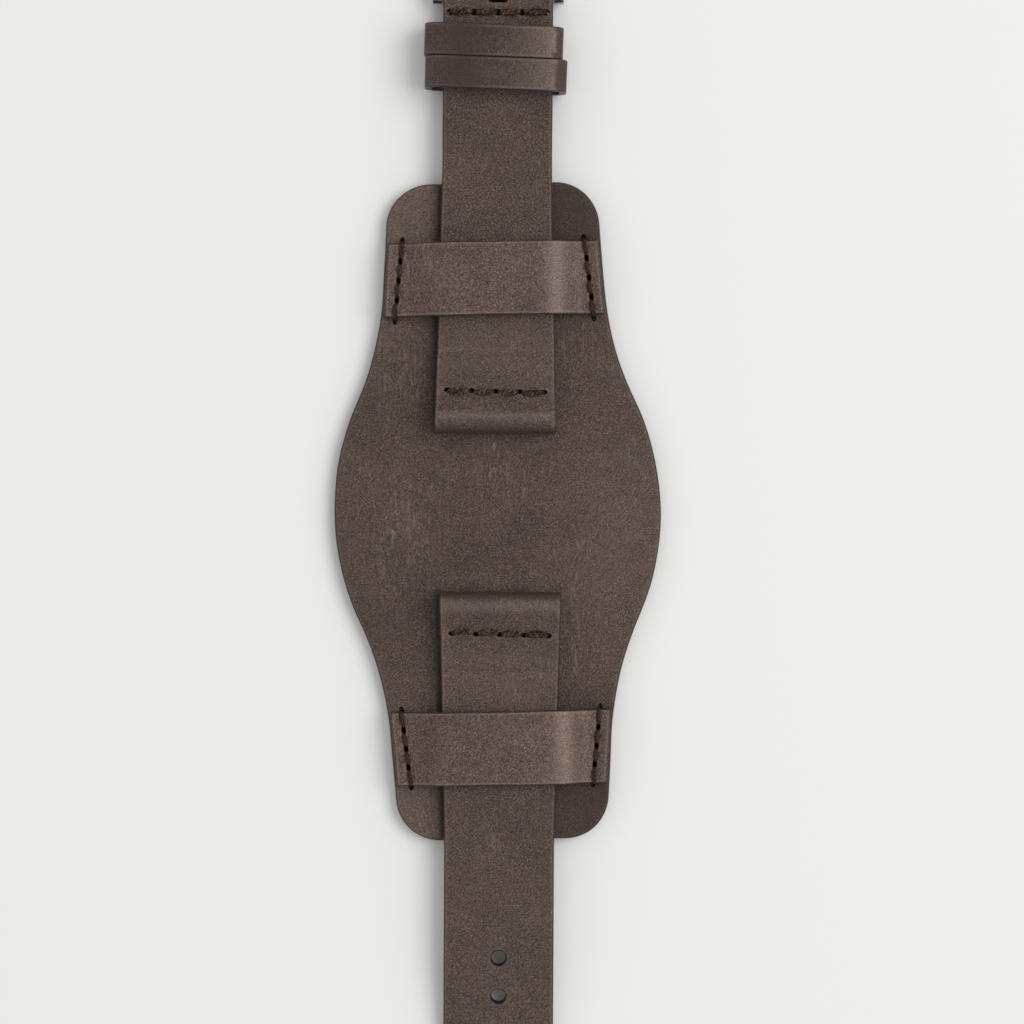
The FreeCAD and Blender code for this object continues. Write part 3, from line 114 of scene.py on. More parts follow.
def waxed_leather(name, deep, middle, pale, shift, flecks=0.52):
    """Full-grain cowhide stuffed with oil and wax, and brushed to a low sheen.

    Wax pales where the leather was drawn taut, so soft clouds, wrinkles, bends and small flecks
    lighten the brown. The grain is a fine pebble of less than half a millimetre with darker
    creases, every cut edge is burnished dark and smooth, and the flesh side is raw, paler and
    rough. The mesh carries what its place gives: rim, stain, pull, rub, worn and flesh. Of
    these, stain is wax and painted shade in the holes and a painted shadow beside the straps;
    pull is wax paling and also painted highlight and sheen; rub is wear and also painted shade.
    """
    cloud_size, patch_size, mottle_size = 16.0, 11.0, 3.4
    pebble_size, speck_size, fibre_size = 0.42, 0.26, 0.17
    edge_dye, rubbed_and_shaded, hole_stain_and_shade = "#2a1c16", "#33201a", "#0f0906"
    nap_deep, nap_pale = "#4a382f", "#7d6655"
    gloss = 0.52
    material, tree = bare_material(name)
    rim, stain_and_shade, pull_and_highlight, rub, worn, flesh = [
        add_node(tree, "Attribute", attribute_name=mark).outputs["Fac"]
        for mark in ("rim", "stain_and_shade", "pull_and_highlight", "rub", "worn", "flesh")]

    # The hide's pattern, in millimetres from the coarse clouds to the single fibres.
    where = add_node(tree, "TexCoord").outputs["Object"]
    spot = add_node(tree, "Mapping", {"Vector": where, "Location": shift,
                                      "Scale": [1 / MM] * 3}).outputs[0]
    cloud = add_node(tree, "TexNoise", {"Vector": spot, "Scale": 1 / cloud_size, "Detail": 4.0,
                                        "Roughness": 0.6}).outputs["Fac"]
    mottle = add_node(tree, "TexNoise", {"Vector": spot, "Scale": 1 / mottle_size, "Detail": 4.0,
                                         "Roughness": 0.6, "Distortion": 0.6}).outputs["Fac"]
    speck = add_node(tree, "TexNoise", {"Vector": spot, "Scale": 1 / speck_size, "Detail": 3.0,
                                        "Roughness": 0.7, "Distortion": 0.8}).outputs["Fac"]
    fibre = add_node(tree, "TexNoise", {"Vector": spot, "Scale": 1 / fibre_size, "Detail": 2.0,
                                        "Roughness": 0.7}).outputs["Fac"]
    warp = add_node(tree, "TexNoise", {"Vector": spot, "Scale": 1.4, "Detail": 2.0}).outputs["Color"]
    pushed = add_node(tree, "VectorMath", {0: warp, 1: (0.9, 0.9, 0.9), 2: spot},
                      operation="MULTIPLY_ADD").outputs[0]
    pebble = add_node(tree, "TexVoronoi", {"Vector": pushed, "Scale": 1 / pebble_size},
                      feature="DISTANCE_TO_EDGE").outputs["Distance"]
    crown = add_node(tree, "MapRange", {"Value": pebble, "From Max": 0.26},
                     interpolation_type="SMOOTHSTEP").outputs[0]

    # Wrinkles: long thin lines, seen only where the leather has been worked.
    along = add_node(tree, "Mapping", {"Vector": spot, "Rotation": (0, 0, 0.12),
                                       "Scale": (0.95, 0.17, 0.5)}).outputs[0]
    folds = add_node(tree, "TexNoise", {"Vector": along, "Scale": 1.0, "Detail": 5.0,
                                        "Roughness": 0.6, "Distortion": 1.4}).outputs["Fac"]
    ridge = add_node(tree, "Math", {0: folds, 1: 0.5}, operation="SUBTRACT").outputs[0]
    ridge = add_node(tree, "Math", {0: ridge}, operation="ABSOLUTE").outputs[0]
    line = add_node(tree, "MapRange", {"Value": ridge, "From Max": 0.045, "To Min": 1.0, "To Max": 0.0},
                    interpolation_type="SMOOTHSTEP").outputs[0]
    patch = add_node(tree, "TexNoise", {"Vector": spot, "Scale": 1 / patch_size,
                                        "Detail": 2.0}).outputs["Fac"]
    patch = add_node(tree, "MapRange", {"Value": patch, "From Min": 0.5, "From Max": 0.7, "To Max": 0.6},
                     interpolation_type="SMOOTHSTEP").outputs[0]
    patch = add_node(tree, "Math", {0: patch, 1: worn}, operation="MAXIMUM").outputs[0]
    crease = add_node(tree, "Math", {0: line, 1: patch}, operation="MULTIPLY").outputs[0]

    # Colour: the dyed grain, then what has paled, darkened or been left raw on top of it.
    clouded = add_node(tree, "MapRange", {"Value": cloud, "From Min": 0.3, "From Max": 0.7},
                       interpolation_type="SMOOTHSTEP").outputs[0]
    ground = add_node(tree, "MixRGB", {"Fac": clouded, "Color1": linear(deep),
                                       "Color2": linear(middle)}).outputs[0]
    for pattern, low, high, dark, light in ((mottle, 0.3, 0.7, 0.9, 1.1),
                                            (speck, 0.33, 0.62, 0.25, 1.86),
                                            (crown, 0.0, 0.6, 0.5, 1.14)):
        shade = add_node(tree, "MapRange", {"Value": pattern, "From Min": low, "From Max": high,
                                            "To Min": dark, "To Max": light},
                         interpolation_type="SMOOTHSTEP").outputs[0]
        ground = add_node(tree, "MixRGB", {"Fac": 1.0, "Color1": ground, "Color2": shade},
                          blend_type="MULTIPLY").outputs[0]
    tip = add_node(tree, "Math", {0: speck, 1: fibre}, operation="MULTIPLY").outputs[0]
    tip = add_node(tree, "MapRange", {"Value": tip, "From Min": 0.27, "From Max": 0.4, "To Max": flecks},
                   interpolation_type="SMOOTHSTEP").outputs[0]
    grain = add_node(tree, "MapRange", {"Value": speck, "From Min": 0.3, "From Max": 0.6,
                                        "To Min": 0.25, "To Max": 0.6},
                     interpolation_type="SMOOTHSTEP").outputs[0]
    pull_and_highlight_grain = add_node(tree, "Math", {0: pull_and_highlight, 1: grain}, operation="MULTIPLY").outputs[0]
    creased = add_node(tree, "Math", {0: crease, 1: 0.8}, operation="MULTIPLY").outputs[0]
    corner_start = add_node(tree, "MapRange", {"Value": rim, "From Min": 0.3, "From Max": 0.52},
                            interpolation_type="SMOOTHSTEP").outputs[0]
    corner_end = add_node(tree, "MapRange", {"Value": rim, "From Min": 0.58, "From Max": 0.8,
                                             "To Min": 0.22, "To Max": 0.0},
                          interpolation_type="SMOOTHSTEP").outputs[0]
    corner = add_node(tree, "Math", {0: corner_start, 1: corner_end}, operation="MULTIPLY").outputs[0]
    dyed = add_node(tree, "MapRange", {"Value": rim, "From Min": 0.62, "From Max": 0.98, "To Max": 0.8},
                    interpolation_type="SMOOTHSTEP").outputs[0]
    nap = add_node(tree, "MixRGB", {"Fac": fibre, "Color1": linear(nap_deep),
                                    "Color2": linear(nap_pale)}).outputs[0]
    # Pale and dark marks from the mesh carry painted highlight, sheen, shade and shadow as well as wax
    # paling, wear and wax.
    for share, colour in ((tip, linear(pale)), (pull_and_highlight_grain, linear(pale)), (creased, linear(pale)),
                          (corner, linear(pale)), (dyed, linear(edge_dye)), (rub, linear(rubbed_and_shaded)),
                          (flesh, nap), (stain_and_shade, linear(hole_stain_and_shade))):
        ground = add_node(tree, "MixRGB", {"Fac": share, "Color1": ground, "Color2": colour}).outputs[0]

    # Gloss and relief, each bump with its depth in millimetres.
    rough = add_node(tree, "MapRange", {"Value": mottle, "From Min": 0.3, "From Max": 0.7,
                                        "To Min": gloss + 0.06, "To Max": gloss - 0.05},
                     interpolation_type="SMOOTHSTEP").outputs[0]
    rough = add_node(tree, "Math", {0: flesh, 1: 0.3, 2: rough}, operation="MULTIPLY_ADD").outputs[0]
    rough = add_node(tree, "Math", {0: dyed, 1: -0.17, 2: rough}, operation="MULTIPLY_ADD").outputs[0]
    surface = None
    for height, depth in ((crown, 0.07), (speck, 0.1), (mottle, 0.14), (crease, 0.1)):
        inputs = {"Height": height, "Distance": depth * MM, "Strength": 1.0}
        if surface:
            inputs["Normal"] = surface
        surface = add_node(tree, "Bump", inputs).outputs[0]
    finish = add_node(tree, "BsdfPrincipled", {"Base Color": ground, "Roughness": rough, "IOR": 1.46,
                                               "Normal": surface})
    add_node(tree, "OutputMaterial", {"Surface": finish.outputs[0]})
    return material


def arc(centre, radius, start, end, step=0.6):
    """Points along an arc from one angle to another, in degrees, both ends included."""
    count = max(3, int(abs(math.radians(end - start)) * radius / step) + 2)
    angles = np.radians(np.linspace(start, end, count))
    return np.column_stack((centre[0] + radius * np.cos(angles), centre[1] + radius * np.sin(angles)))


def divided(points, step, closed=True):
    """The same outline with every long side divided into short ones."""
    points = np.array(points, float)
    result = []
    for i, start in enumerate(points if closed else points[:-1]):
        end = points[(i + 1) % len(points)]
        count = max(1, int(np.ceil(np.linalg.norm(end - start) / step)))
        result.extend(start + (end - start) * k / count for k in range(count))
    return np.array(result if closed else result + [points[-1]])


def outward(loop):
    """The outward direction at each point of a closed loop that runs anticlockwise."""
    side = np.roll(loop, -1, axis=0) - loop
    side /= np.linalg.norm(side, axis=1)[:, None]
    after = np.column_stack((side[:, 1], -side[:, 0]))
    before = np.roll(after, 1, axis=0)
    middle = after + before
    middle /= np.linalg.norm(middle, axis=1)[:, None]
    return middle / (middle * after).sum(axis=1)[:, None]


def is_inside(points, loop):
    """Which points lie inside a closed loop, found by counting the sides to their right."""
    x, y = points[:, 0, None], points[:, 1, None]
    start, end = loop, np.roll(loop, -1, axis=0)
    rise = end[:, 1] - start[:, 1]
    rise = np.where(rise == 0, 1e-12, rise)
    crossing = start[:, 0] + (y - start[:, 1]) * (end[:, 0] - start[:, 0]) / rise
    return (((start[:, 1] > y) != (end[:, 1] > y)) & (crossing > x)).sum(axis=1) % 2 == 1


def distance_to(points, loop):
    """How far each point lies from a closed loop, or from a line given by its two ends."""
    side = np.roll(loop, -1, axis=0) - loop
    squares = np.maximum((side * side).sum(axis=1), 1e-12)
    nearest = []
    for some in np.array_split(points, max(1, len(points) // 1500)):
        away = some[:, None, :] - loop
        share = np.clip((away * side).sum(axis=2) / squares, 0, 1)
        nearest.append(np.linalg.norm(away - share[..., None] * side, axis=2).min(axis=1))
    return np.concatenate(nearest)


def grid_inside(loops, pitch, margin):
    """Staggered points inside the first loop and outside the others, clear of all of them."""
    row_height = 0.87
    low, high = loops[0].min(axis=0), loops[0].max(axis=0)
    across = np.arange(low[0], high[0], pitch)
    along = np.arange(low[1], high[1], pitch * row_height)
    x, y = np.meshgrid(across, along)
    x = x + (np.arange(len(along)) % 2)[:, None] * pitch / 2
    points = np.column_stack((x.ravel(), y.ravel()))
    points = points[is_inside(points, loops[0])]
    for number, loop in enumerate(loops):
        if number:
            points = points[~is_inside(points, loop)]
        points = points[distance_to(points, loop) > margin]
    return points


def sheet_points(loops, lines, pitch):
    """Points all over a sheet with holes, twice as close beside the given lines."""
    beside = 1.2
    coarse = grid_inside(loops, pitch, pitch * 0.4)
    if not lines:
        return [coarse]
    close = grid_inside(loops, pitch * 0.5, pitch * 0.25)
    far_from = np.min([distance_to(coarse, line) for line in lines], axis=0) >= beside
    near_to = np.min([distance_to(close, line) for line in lines], axis=0) < beside
    return [coarse[far_from], close[near_to]]


def triangles_between(points, loops):
    """Triangles over the points that begin with the loops' own, inside the first, not the others."""
    sides, start = [], 0
    for loop in loops:
        count = len(loop)
        sides += [(start + i, start + (i + 1) % count) for i in range(count)]
        start += count
    found = delaunay_2d_cdt([Vector(p) for p in points], sides, [], 0, 1e-7)
    origins = np.array([origin[0] for origin in found[3]])
    triangles = origins[np.array(found[2])]
    middles = points[triangles].mean(axis=1)
    wanted = is_inside(middles, loops[0])
    for loop in loops[1:]:
        wanted &= ~is_inside(middles, loop)
    return triangles[wanted]


class Blank:
    """A flat piece of leather as it is cut: a sheet on each face, and a rounded rim at every edge.

    Each point has its place on the flat leather (flat), its height as a share of half the
    thickness (height), how near it lies to a cut edge (near), how much of a hole's dark it has,
    which is wax and painted shade in the hole (stain), and how far a stitch row draws it in (pinch).
    """

    hole_rounding, punched_rounding = 0.16, 0.3
    edge_reach, row_reach = 0.5, 0.6
    rim_steps, rim_fullness = 8, 0.6

    def __init__(self, outline, rounding, holes=(), rows=(), pitch=0.8, punched=(), fine=()):
        cuts = [(outline, -1.0, rounding)]
        cuts += [(hole, 1.0, self.hole_rounding) for hole in holes]
        cuts += [(hole, 1.0, self.punched_rounding) for hole in punched]
        rows = [np.array(row) for row in rows]
        loops = [edge + outward(edge) * way * inset for edge, way, inset in cuts]
        sheet = np.vstack(loops + sheet_points(loops, [*rows, *fine], pitch))
        triangles = triangles_between(sheet, loops)
        count = len(sheet)
        to_edge = np.min([distance_to(sheet, edge) for edge, way, inset in cuts], axis=0)
        self.faces = [tuple(face) for face in triangles]
        self.faces += [tuple(face[::-1] + count) for face in triangles]
        self.flat = np.vstack((sheet, sheet))
        self.height = np.repeat((1.0, -1.0), count)
        self.near = np.tile(np.exp(-to_edge / self.edge_reach), 2)
        first = 0
        for edge, way, inset in cuts:
            self.round_edge(edge, way * inset, first, count)
            first += len(edge)
        # Near holes the leather is made nearly black: wax, and painted shade in the hole.
        self.stain_and_shade = self.shade([(edge, inset * 0.9) for edge, way, inset in cuts[1:]])
        self.pinch = self.shade([(row, self.row_reach) for row in rows])

    def round_edge(self, edge, inset, first, count):
        """Adds the rim between the two sheets, whose loops there start at first and first + count."""
        size = len(edge)
        rings = [np.arange(first, first + size)]
        for turn in np.radians(np.linspace(90, -90, self.rim_steps + 1))[1:-1]:
            share = 1 - abs(math.cos(turn)) ** self.rim_fullness
            height = math.copysign(abs(math.sin(turn)) ** self.rim_fullness, turn)
            rings.append(np.arange(len(self.flat), len(self.flat) + size))
            self.flat = np.vstack((self.flat, edge + outward(edge) * inset * share))
            self.height = np.append(self.height, np.full(size, height))
            self.near = np.append(self.near, np.ones(size))
        rings.append(rings[0] + count)
        for upper, lower in zip(rings, rings[1:]):
            quads = np.column_stack((upper, lower, np.roll(lower, -1), np.roll(upper, -1)))
            self.faces += [tuple(quad) for quad in (quads if inset < 0 else quads[:, ::-1])]

    def shade(self, lines):
        """1 at any of the lines, and less with the distance, by each line's own reach."""
        shades = [np.exp(-(distance_to(self.flat, line) / reach) ** 2) for line, reach in lines]
        return np.max([np.zeros(len(self.flat)), *shades], axis=0)


def make_object(name, points, faces, materials, values=None):
    """A smooth mesh object from points in millimetres, with named values at its points."""
    mesh = bpy.data.meshes.new(name)
    mesh.from_pydata(np.array(points) * MM, [], [tuple(int(i) for i in face) for face in faces])
    mesh.validate()
    mesh.shade_smooth()
    for key, numbers in (values or {}).items():
        attribute = mesh.attributes.new(key, "FLOAT", "POINT")
        attribute.data.foreach_set("value", np.array(numbers, np.float32))
    for material in materials:
        mesh.materials.append(material)
    piece = bpy.data.objects.new(name, mesh)
    bpy.context.scene.collection.objects.link(piece)
    return piece


def marks(blank, **more):
    """The values that the leather's finish reads from the mesh. Hole edges are nearly black: wax and
    painted shade.
    """
    return {"rim": blank.near, "flesh": blank.height < -0.99, "stain_and_shade": 0.94 * blank.stain_and_shade, **more}


def ripple(x, y, phase):
    """A slow unevenness between -1 and 1, as hand-cut leather has."""
    waves = np.sin(0.31 * x + 0.17 * y + phase) + np.sin(0.23 * y - 0.41 * x + 2.1 * phase)
    return (waves + np.sin(0.57 * x + 0.49 * y - phase)) / 3


def turned(points, angle, centre=(0.0, 0.0)):
    """Points turned about a standing line through a centre."""
    points = np.array(points, float)
    x, y = points[:, 0] - centre[0], points[:, 1] - centre[1]
    points[:, 0] = centre[0] + x * math.cos(angle) - y * math.sin(angle)
    points[:, 1] = centre[1] + x * math.sin(angle) + y * math.cos(angle)
    return points


def pad_outline():
    """The pad's cutting line: one quarter, mirrored to four."""
    half_length, half_width = pad_high[1], pad_high[0]
    out = np.array((math.cos(pad_flank_angle), math.sin(pad_flank_angle)))
    down = np.array((out[1], -out[0]))
    top = half_length - pad_corner_radius * (1 - out[1])
    shoulder = np.array((pad_shoulder, top))
    corner = shoulder - out * pad_corner_radius
    belly = np.array((half_width - pad_belly_radius, 0.0))
    reach = shoulder + out * pad_waist_radius - belly
    across = -reach @ down
    both = pad_belly_radius + pad_waist_radius
    waist = belly + reach + down * (across - math.sqrt(across ** 2 - reach @ reach + both ** 2))
    meet = math.degrees(math.atan2(waist[1] - belly[1], waist[0] - belly[0]))
    flank = math.degrees(pad_flank_angle)
    quarter = np.vstack((arc(belly, pad_belly_radius, 0, meet),
                         arc(waist, pad_waist_radius, meet + 180, flank + 180)[1:],
                         arc(corner, pad_corner_radius, flank, 90)))
    mirrored = quarter[::-1] * (-1, 1)
    loop = np.vstack((quarter, mirrored[:-1], -quarter, -mirrored[:-1]))
    loop = loop[np.linalg.norm(loop - np.roll(loop, 1, axis=0), axis=1) > 1e-6]
    loop = divided(loop, 0.8)
    return loop + outward(loop) * pad_cut_unevenness * ripple(*loop.T, 0.4)[:, None]


def slit(centre, lean, length, width):
    """A pricked stitch hole, opened by its thread."""
    angles = np.linspace(0, 2 * math.pi, 14, endpoint=False)
    shape = np.column_stack((length / 2 * np.cos(angles), width / 2 * np.sin(angles)))
    return turned(shape, lean) + centre


def band_row(side, end):
    """The hole centres of one band's stitch row, from the outer edge of the pad's end inwards."""
    (x0, y0), (x1, y1) = band_row_ends
    shares = 0.5 + row_scale[end] * np.linspace(-0.5, 0.5, row_holes)
    return np.column_stack((side * (x0 + (x1 - x0) * shares),
                            end * (y0 + (y1 - y0) * shares) + row_shift[end]))


pad_rows = [band_row(side, end) for side in (-1, 1) for end in (-1, 1)]
pad_holes = [slit(hole, math.atan2(*(row[1] - row[0])[::-1]), *pad_slit)
             for row in pad_rows for hole in row]
strap_shadow_edges = [turned(line, -pad_turn) for line in strap_shadow_lines]
pad_blank = Blank(pad_outline(), pad_edge_rounding, pad_holes,
                  [(row[0], row[-1]) for row in pad_rows], pad_mesh_pitch, fine=strap_shadow_edges)
pad_x, pad_y = pad_blank.flat.T
pad_top = pad_blank.height > 0.99
lift = pad_blank.height * (pad_thickness / 2 - stitch_dimple * pad_blank.pinch)
lift = lift + pad_unevenness * ripple(pad_x, pad_y, 1.3) * pad_top
pad_points = turned(np.column_stack((pad_x, pad_y, pad_thickness / 2 + lift)), pad_turn)
pad_leather = waxed_leather("waxed_leather_pad", "#433129", "#4f3b32", "#9c867a", (3.0, 7.0, 0.0))
wrinkled = np.zeros(len(pad_points))
for x, y, reach, strength in worn_places:
    away = ((pad_x - x) / reach) ** 2 + ((pad_y - y) / worn_length) ** 2
    wrinkled += strength * np.exp(-away)
# Painted sheen on the ends to the left and painted shade on those to the right; a paler belly.
at_end = np.clip((np.abs(pad_y) - end_start) / end_fade, 0, 1)
end_share = np.clip(-pad_x / end_width, -1, 1) * at_end
belly_share = np.clip((pad_x - belly_start) / belly_fade, 0, 1) * np.exp(-(pad_y / belly_length) ** 2)
pad_values = marks(pad_blank, worn=wrinkled, rub=end_shade * np.maximum(-end_share, 0),
                   pull_and_highlight=belly_pale * belly_share + end_sheen * np.maximum(end_share, 0))
# Painted shadow beside the straps' left edges, kept in the same mark as the holes' dark.
to_strap = np.min([distance_to(pad_blank.flat, edge) for edge in strap_shadow_edges], axis=0)
painted_strap_shadow = strap_shadow_dark * np.exp(-(to_strap / strap_shadow_reach) ** 2) * pad_top
pad_values["stain_and_shade"] = np.maximum(pad_values["stain_and_shade"], painted_strap_shadow)
pad = make_object("pad", pad_points, pad_blank.faces, [pad_leather], pad_values)
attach(pad, "pad")
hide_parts("bund_pad")

# Bridge bands.
# Two straps of thinner leather, sewn flat on the pad at both ends. They rise over the strap that
# slides below them and hold it down, and their slanted ends follow the pad's rim.

band_low, band_high = [np.array(corner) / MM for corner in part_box("bridge_band_upper")]
band_thickness = 1.5
band_middle = (band_low[1] + band_high[1]) / 2
band_half_width = (band_high[1] - band_low[1]) / 2
band_flat_half = 9.7
band_foot_half = 14.0
band_reach = 20.0
band_end_inner, band_end_outer = 18.0, 17.2
band_softness = 0.75
band_edge_rounding = 0.3
band_setback = -0.3
strip_cut_unevenness = 0.05

# How much the bends left and right of a band are paled (the right ones most, a painted highlight), and
# its painted highlight beside the strap's right edge: how strong, how far from the middle and how wide.
band_paling_and_highlight = {"upper": (0.1, 0.9), "lower": (0.9, 0.1)}
band_highlight, band_highlight_place, band_highlight_reach = 0.6, 10.2, 2.2


class Bend:
    """A strip's middle line in side view, from corners of (along, height, thickness).

    The strip's width lies along one level axis and its length along the other. Its bends are
    softened, as leather takes them.
    """

    # The line's points are 0.05 mm apart, and a softness of 1 mm takes in 60 of them each way.
    step, steps_for_softness = 0.05, 60
    thinnest, unevenness = 0.3, 0.03
    upward = np.array((0, 0, 1))

    # The bend in radians per mm that shows fully, how fast the darkening of steep bends sets in
    # (wear and painted shade), and the stretch over the end of a turned-back flap.
    full_bend, rub_fade = 0.35, 0.25
    strained_place, strained_reach = 28.0, 7.0

    def __init__(self, corners, width_axis, length_axis, softness):
        line = divided(corners, self.step, closed=False)
        count = int(softness * self.steps_for_softness)
        reach = np.arange(-count, count + 1) * self.step
        weights = np.exp(-0.5 * (reach / softness) ** 2)
        weights /= weights.sum()
        before = line[0] + (line[0] - line[1]) * np.arange(count, 0, -1)[:, None]
        after = line[-1] + (line[-1] - line[-2]) * np.arange(1, count + 1)[:, None]
        columns = np.vstack((before, line, after)).T
        soft = np.column_stack([np.convolve(column, weights, "valid") for column in columns])
        soft[:, 2] = np.maximum(soft[:, 2], self.thinnest)
        steps = np.linalg.norm(np.diff(soft[:, :2], axis=0), axis=1)
        self.length = np.concatenate(([0], np.cumsum(steps)))
        self.line = soft
        way = np.gradient(soft[:, :2], self.length, axis=0)
        way /= np.linalg.norm(way, axis=1)[:, None]
        self.width_axis, self.length_axis = np.array(width_axis), np.array(length_axis)
        ahead = way[:, :1] * self.length_axis + way[:, 1:] * self.upward
        self.face = np.cross(self.width_axis, ahead)
        self.bent = np.abs(np.gradient(np.unwrap(np.arctan2(way[:, 1], way[:, 0])), self.length))

    def at(self, distance, column):
        """One column of the line (along, height or thickness) at distances along the strip."""
        return np.interp(distance, self.length, self.line[:, column])

    def crossings(self, along):
        """The distances at which the strip passes a place along its length axis."""
        side = self.line[:, 0] > along
        return [self.length[i] for i in np.flatnonzero(side[1:] != side[:-1])]

    def shape(self, blank, dimple=0.0):
        """The blank's points, bent along the line, in millimetres. Stitch rows lie in a dimple."""
        across, distance = blank.flat.T
        lift = blank.height * (self.at(distance, 2) / 2 - dimple * blank.pinch)
        lift = lift + self.unevenness * ripple(across, distance, 0.7) * (blank.height > 0.99)
        face = np.column_stack([np.interp(distance, self.length, part) for part in self.face.T])
        base = (across[:, None] * self.width_axis + self.at(distance, 0)[:, None] * self.length_axis
                + self.at(distance, 1)[:, None] * self.upward)
        return base + face * lift[:, None]

    def marks(self, blank, paling=(0.7, 0.7), strain=0.0, fold=(0.84, 0.13, 0.6, 0.7)):
        """The finish's values for a bent piece: pale where a bend begins, then dark where it turns down.

        Both follow how level the surface lies, so they are wax paling and wear, and also painted
        highlight and painted shade. paling says how much the bends before and after the middle are
        paled, and strain how much the leather has over the end of a turned-back flap. fold gives how
        level the leather lies where it is palest, the spread of that, how level it lies where the
        darkening starts, and how dark it is made.
        """
        palest, spread, rub_shade_level, depth = fold
        distance = blank.flat[:, 1]
        bent = np.interp(distance, self.length, self.bent) / self.full_bend
        bent = np.clip(bent, 0, 1) * (blank.height > 0)
        level = np.interp(distance, self.length, self.face[:, 2])
        # Pale where the surface tilts to a given level, as wax paling and painted highlight. The
        # darkening below is wear and painted shade.
        bend_paling_and_highlight = np.where(self.at(distance, 0) < 0, *paling) * bent
        bend_paling_and_highlight = bend_paling_and_highlight * np.exp(-((level - palest) / spread) ** 2)
        to_flap = (np.abs(self.at(distance, 0)) - self.strained_place) / self.strained_reach
        return marks(blank, pull_and_highlight=bend_paling_and_highlight + strain * np.exp(-to_flap ** 2),
                     rub=depth * bent * np.clip((rub_shade_level - level) / self.rub_fade, 0, 1))


foot_height = pad_thickness + band_thickness / 2
flat_height = band_high[2] - band_thickness / 2
right_half = [(band_reach, foot_height), (band_foot_half, foot_height), (band_flat_half, flat_height)]
side_view = right_half + [(-x, z) for x, z in reversed(right_half)]
band_bend = Bend([(x, z, band_thickness) for x, z in side_view], (0, 1, 0), (1, 0, 0), band_softness)
corners = [(-band_half_width, band_bend.crossings(band_end_inner)[0]),
           (band_half_width, band_bend.crossings(band_end_outer)[0]),
           (band_half_width, band_bend.crossings(-band_end_outer)[0]),
           (-band_half_width, band_bend.crossings(-band_end_inner)[0])]
outline = divided(corners, 0.5)
outline += outward(outline) * strip_cut_unevenness * ripple(*outline.T, 2.2)[:, None]
band_leather = waxed_leather("waxed_leather_bands", "#4e3a32", "#5f4a41", "#ad978b",
                             (40.0, 11.0, 5.0), flecks=0.3)
for end, name in ((1, "upper"), (-1, "lower")):
    middle = band_middle + end * band_setback
    holes, rows = [], []
    for side_sign in (1, -1):
        flat_row = [(end * y - middle, band_bend.crossings(end * x)[0])
                    for x, y in band_row(end * side_sign, end)]
        rows.append((flat_row[0], flat_row[-1]))
        ahead = math.atan2(flat_row[1][1] - flat_row[0][1], flat_row[1][0] - flat_row[0][0])
        holes += [slit(hole, ahead, *pad_slit) for hole in flat_row[1:-1]]
    blank = Blank(outline, band_edge_rounding, holes, rows)
    points = band_bend.shape(blank, stitch_dimple)
    values = band_bend.marks(blank, band_paling_and_highlight[name])
    # A painted highlight on the band's slope beside the strap's right edge, where it faces the window.
    to_band_highlight = (end * points[:, 0] - band_highlight_place) / band_highlight_reach
    values["pull_and_highlight"] = values["pull_and_highlight"] + band_highlight * np.exp(-to_band_highlight ** 2)
    points = turned(points + (0, middle, 0), pad_turn + math.pi * (end < 0))
    band = make_object("band_" + name, points, blank.faces, [band_leather], values)
    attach(band, "pad")
    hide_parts("bridge_band_" + name)

# Stitched rows.
# Saddle stitches of thick linen thread, three-ply and drawn through black wax. Two needles pass
# every hole, so a stitch lies on each face and both threads turn down in the same dark hole.

thread_width = {"band": 0.7, "strap": 1.1}
thread_bite = {"band": 0.5, "strap": 0.36}
thread_flatness = 0.74
thread_step = 0.14
ply_count, ply_sides, ply_lay = 3, 8, 1.7

# Three round plies in a ring are 2.155 of them wide. The wax has pressed them into each other, so
# each is a little thicker than that, and lies nearer to the middle.
ring_width, ply_radius, ply_place = 2.155, 0.58, 1.02

# In its hole the thread is drawn thin, and it is painted dark, as wax and shade, from where it leaves
# the surface.
drawn_thin = 0.62
hole_shade_from, hole_shade_fade = 0.93, 0.3


def waxed_thread(name, wax, linen):
    """Linen thread in dark wax: painted almost black, as wax and shade, where it turns down into its
    holes, with tan fibres that catch the light.
    """
    fibre_size = 0.13
    material, tree = bare_material(name)
    lay = add_node(tree, "Attribute", attribute_name="lay").outputs["Vector"]
    strands = add_node(tree, "Mapping", {"Vector": lay, "Scale": (1.0, 0.25, 1.0)}).outputs[0]
    fibres = add_node(tree, "TexNoise", {"Vector": strands, "Scale": 1 / fibre_size, "Detail": 3.0,
                                         "Roughness": 0.7}).outputs["Fac"]
    patches = add_node(tree, "TexNoise", {"Vector": lay, "Scale": 1.6, "Detail": 2.0}).outputs["Fac"]
    bare = add_node(tree, "Math", {0: fibres, 1: patches}, operation="MULTIPLY").outputs[0]
    bare = add_node(tree, "MapRange", {"Value": bare, "From Min": 0.25, "From Max": 0.37}).outputs[0]
    colour = add_node(tree, "MixRGB", {"Fac": bare, "Color1": linear(wax),
                                       "Color2": linear(linen)}).outputs[0]
    sunk_wax_and_shade = add_node(tree, "Attribute", attribute_name="sunk_wax_and_shade").outputs["Fac"]
    colour = add_node(tree, "MixRGB", {"Fac": sunk_wax_and_shade, "Color1": colour,
                                       "Color2": linear("#0a0604")}).outputs[0]
    bump = add_node(tree, "Bump", {"Height": fibres, "Distance": 0.03 * MM}).outputs[0]
    finish = add_node(tree, "BsdfPrincipled", {"Base Color": colour, "Roughness": 0.78, "IOR": 1.4,
                                               "Normal": bump})
    add_node(tree, "OutputMaterial", {"Surface": finish.outputs[0]})
    return material


thread_finish = {"band": waxed_thread("waxed_linen_thread_bands", "#28170f", "#6a4735"),
                 "strap": waxed_thread("waxed_linen_thread_strap", "#160c08", "#a07650")}


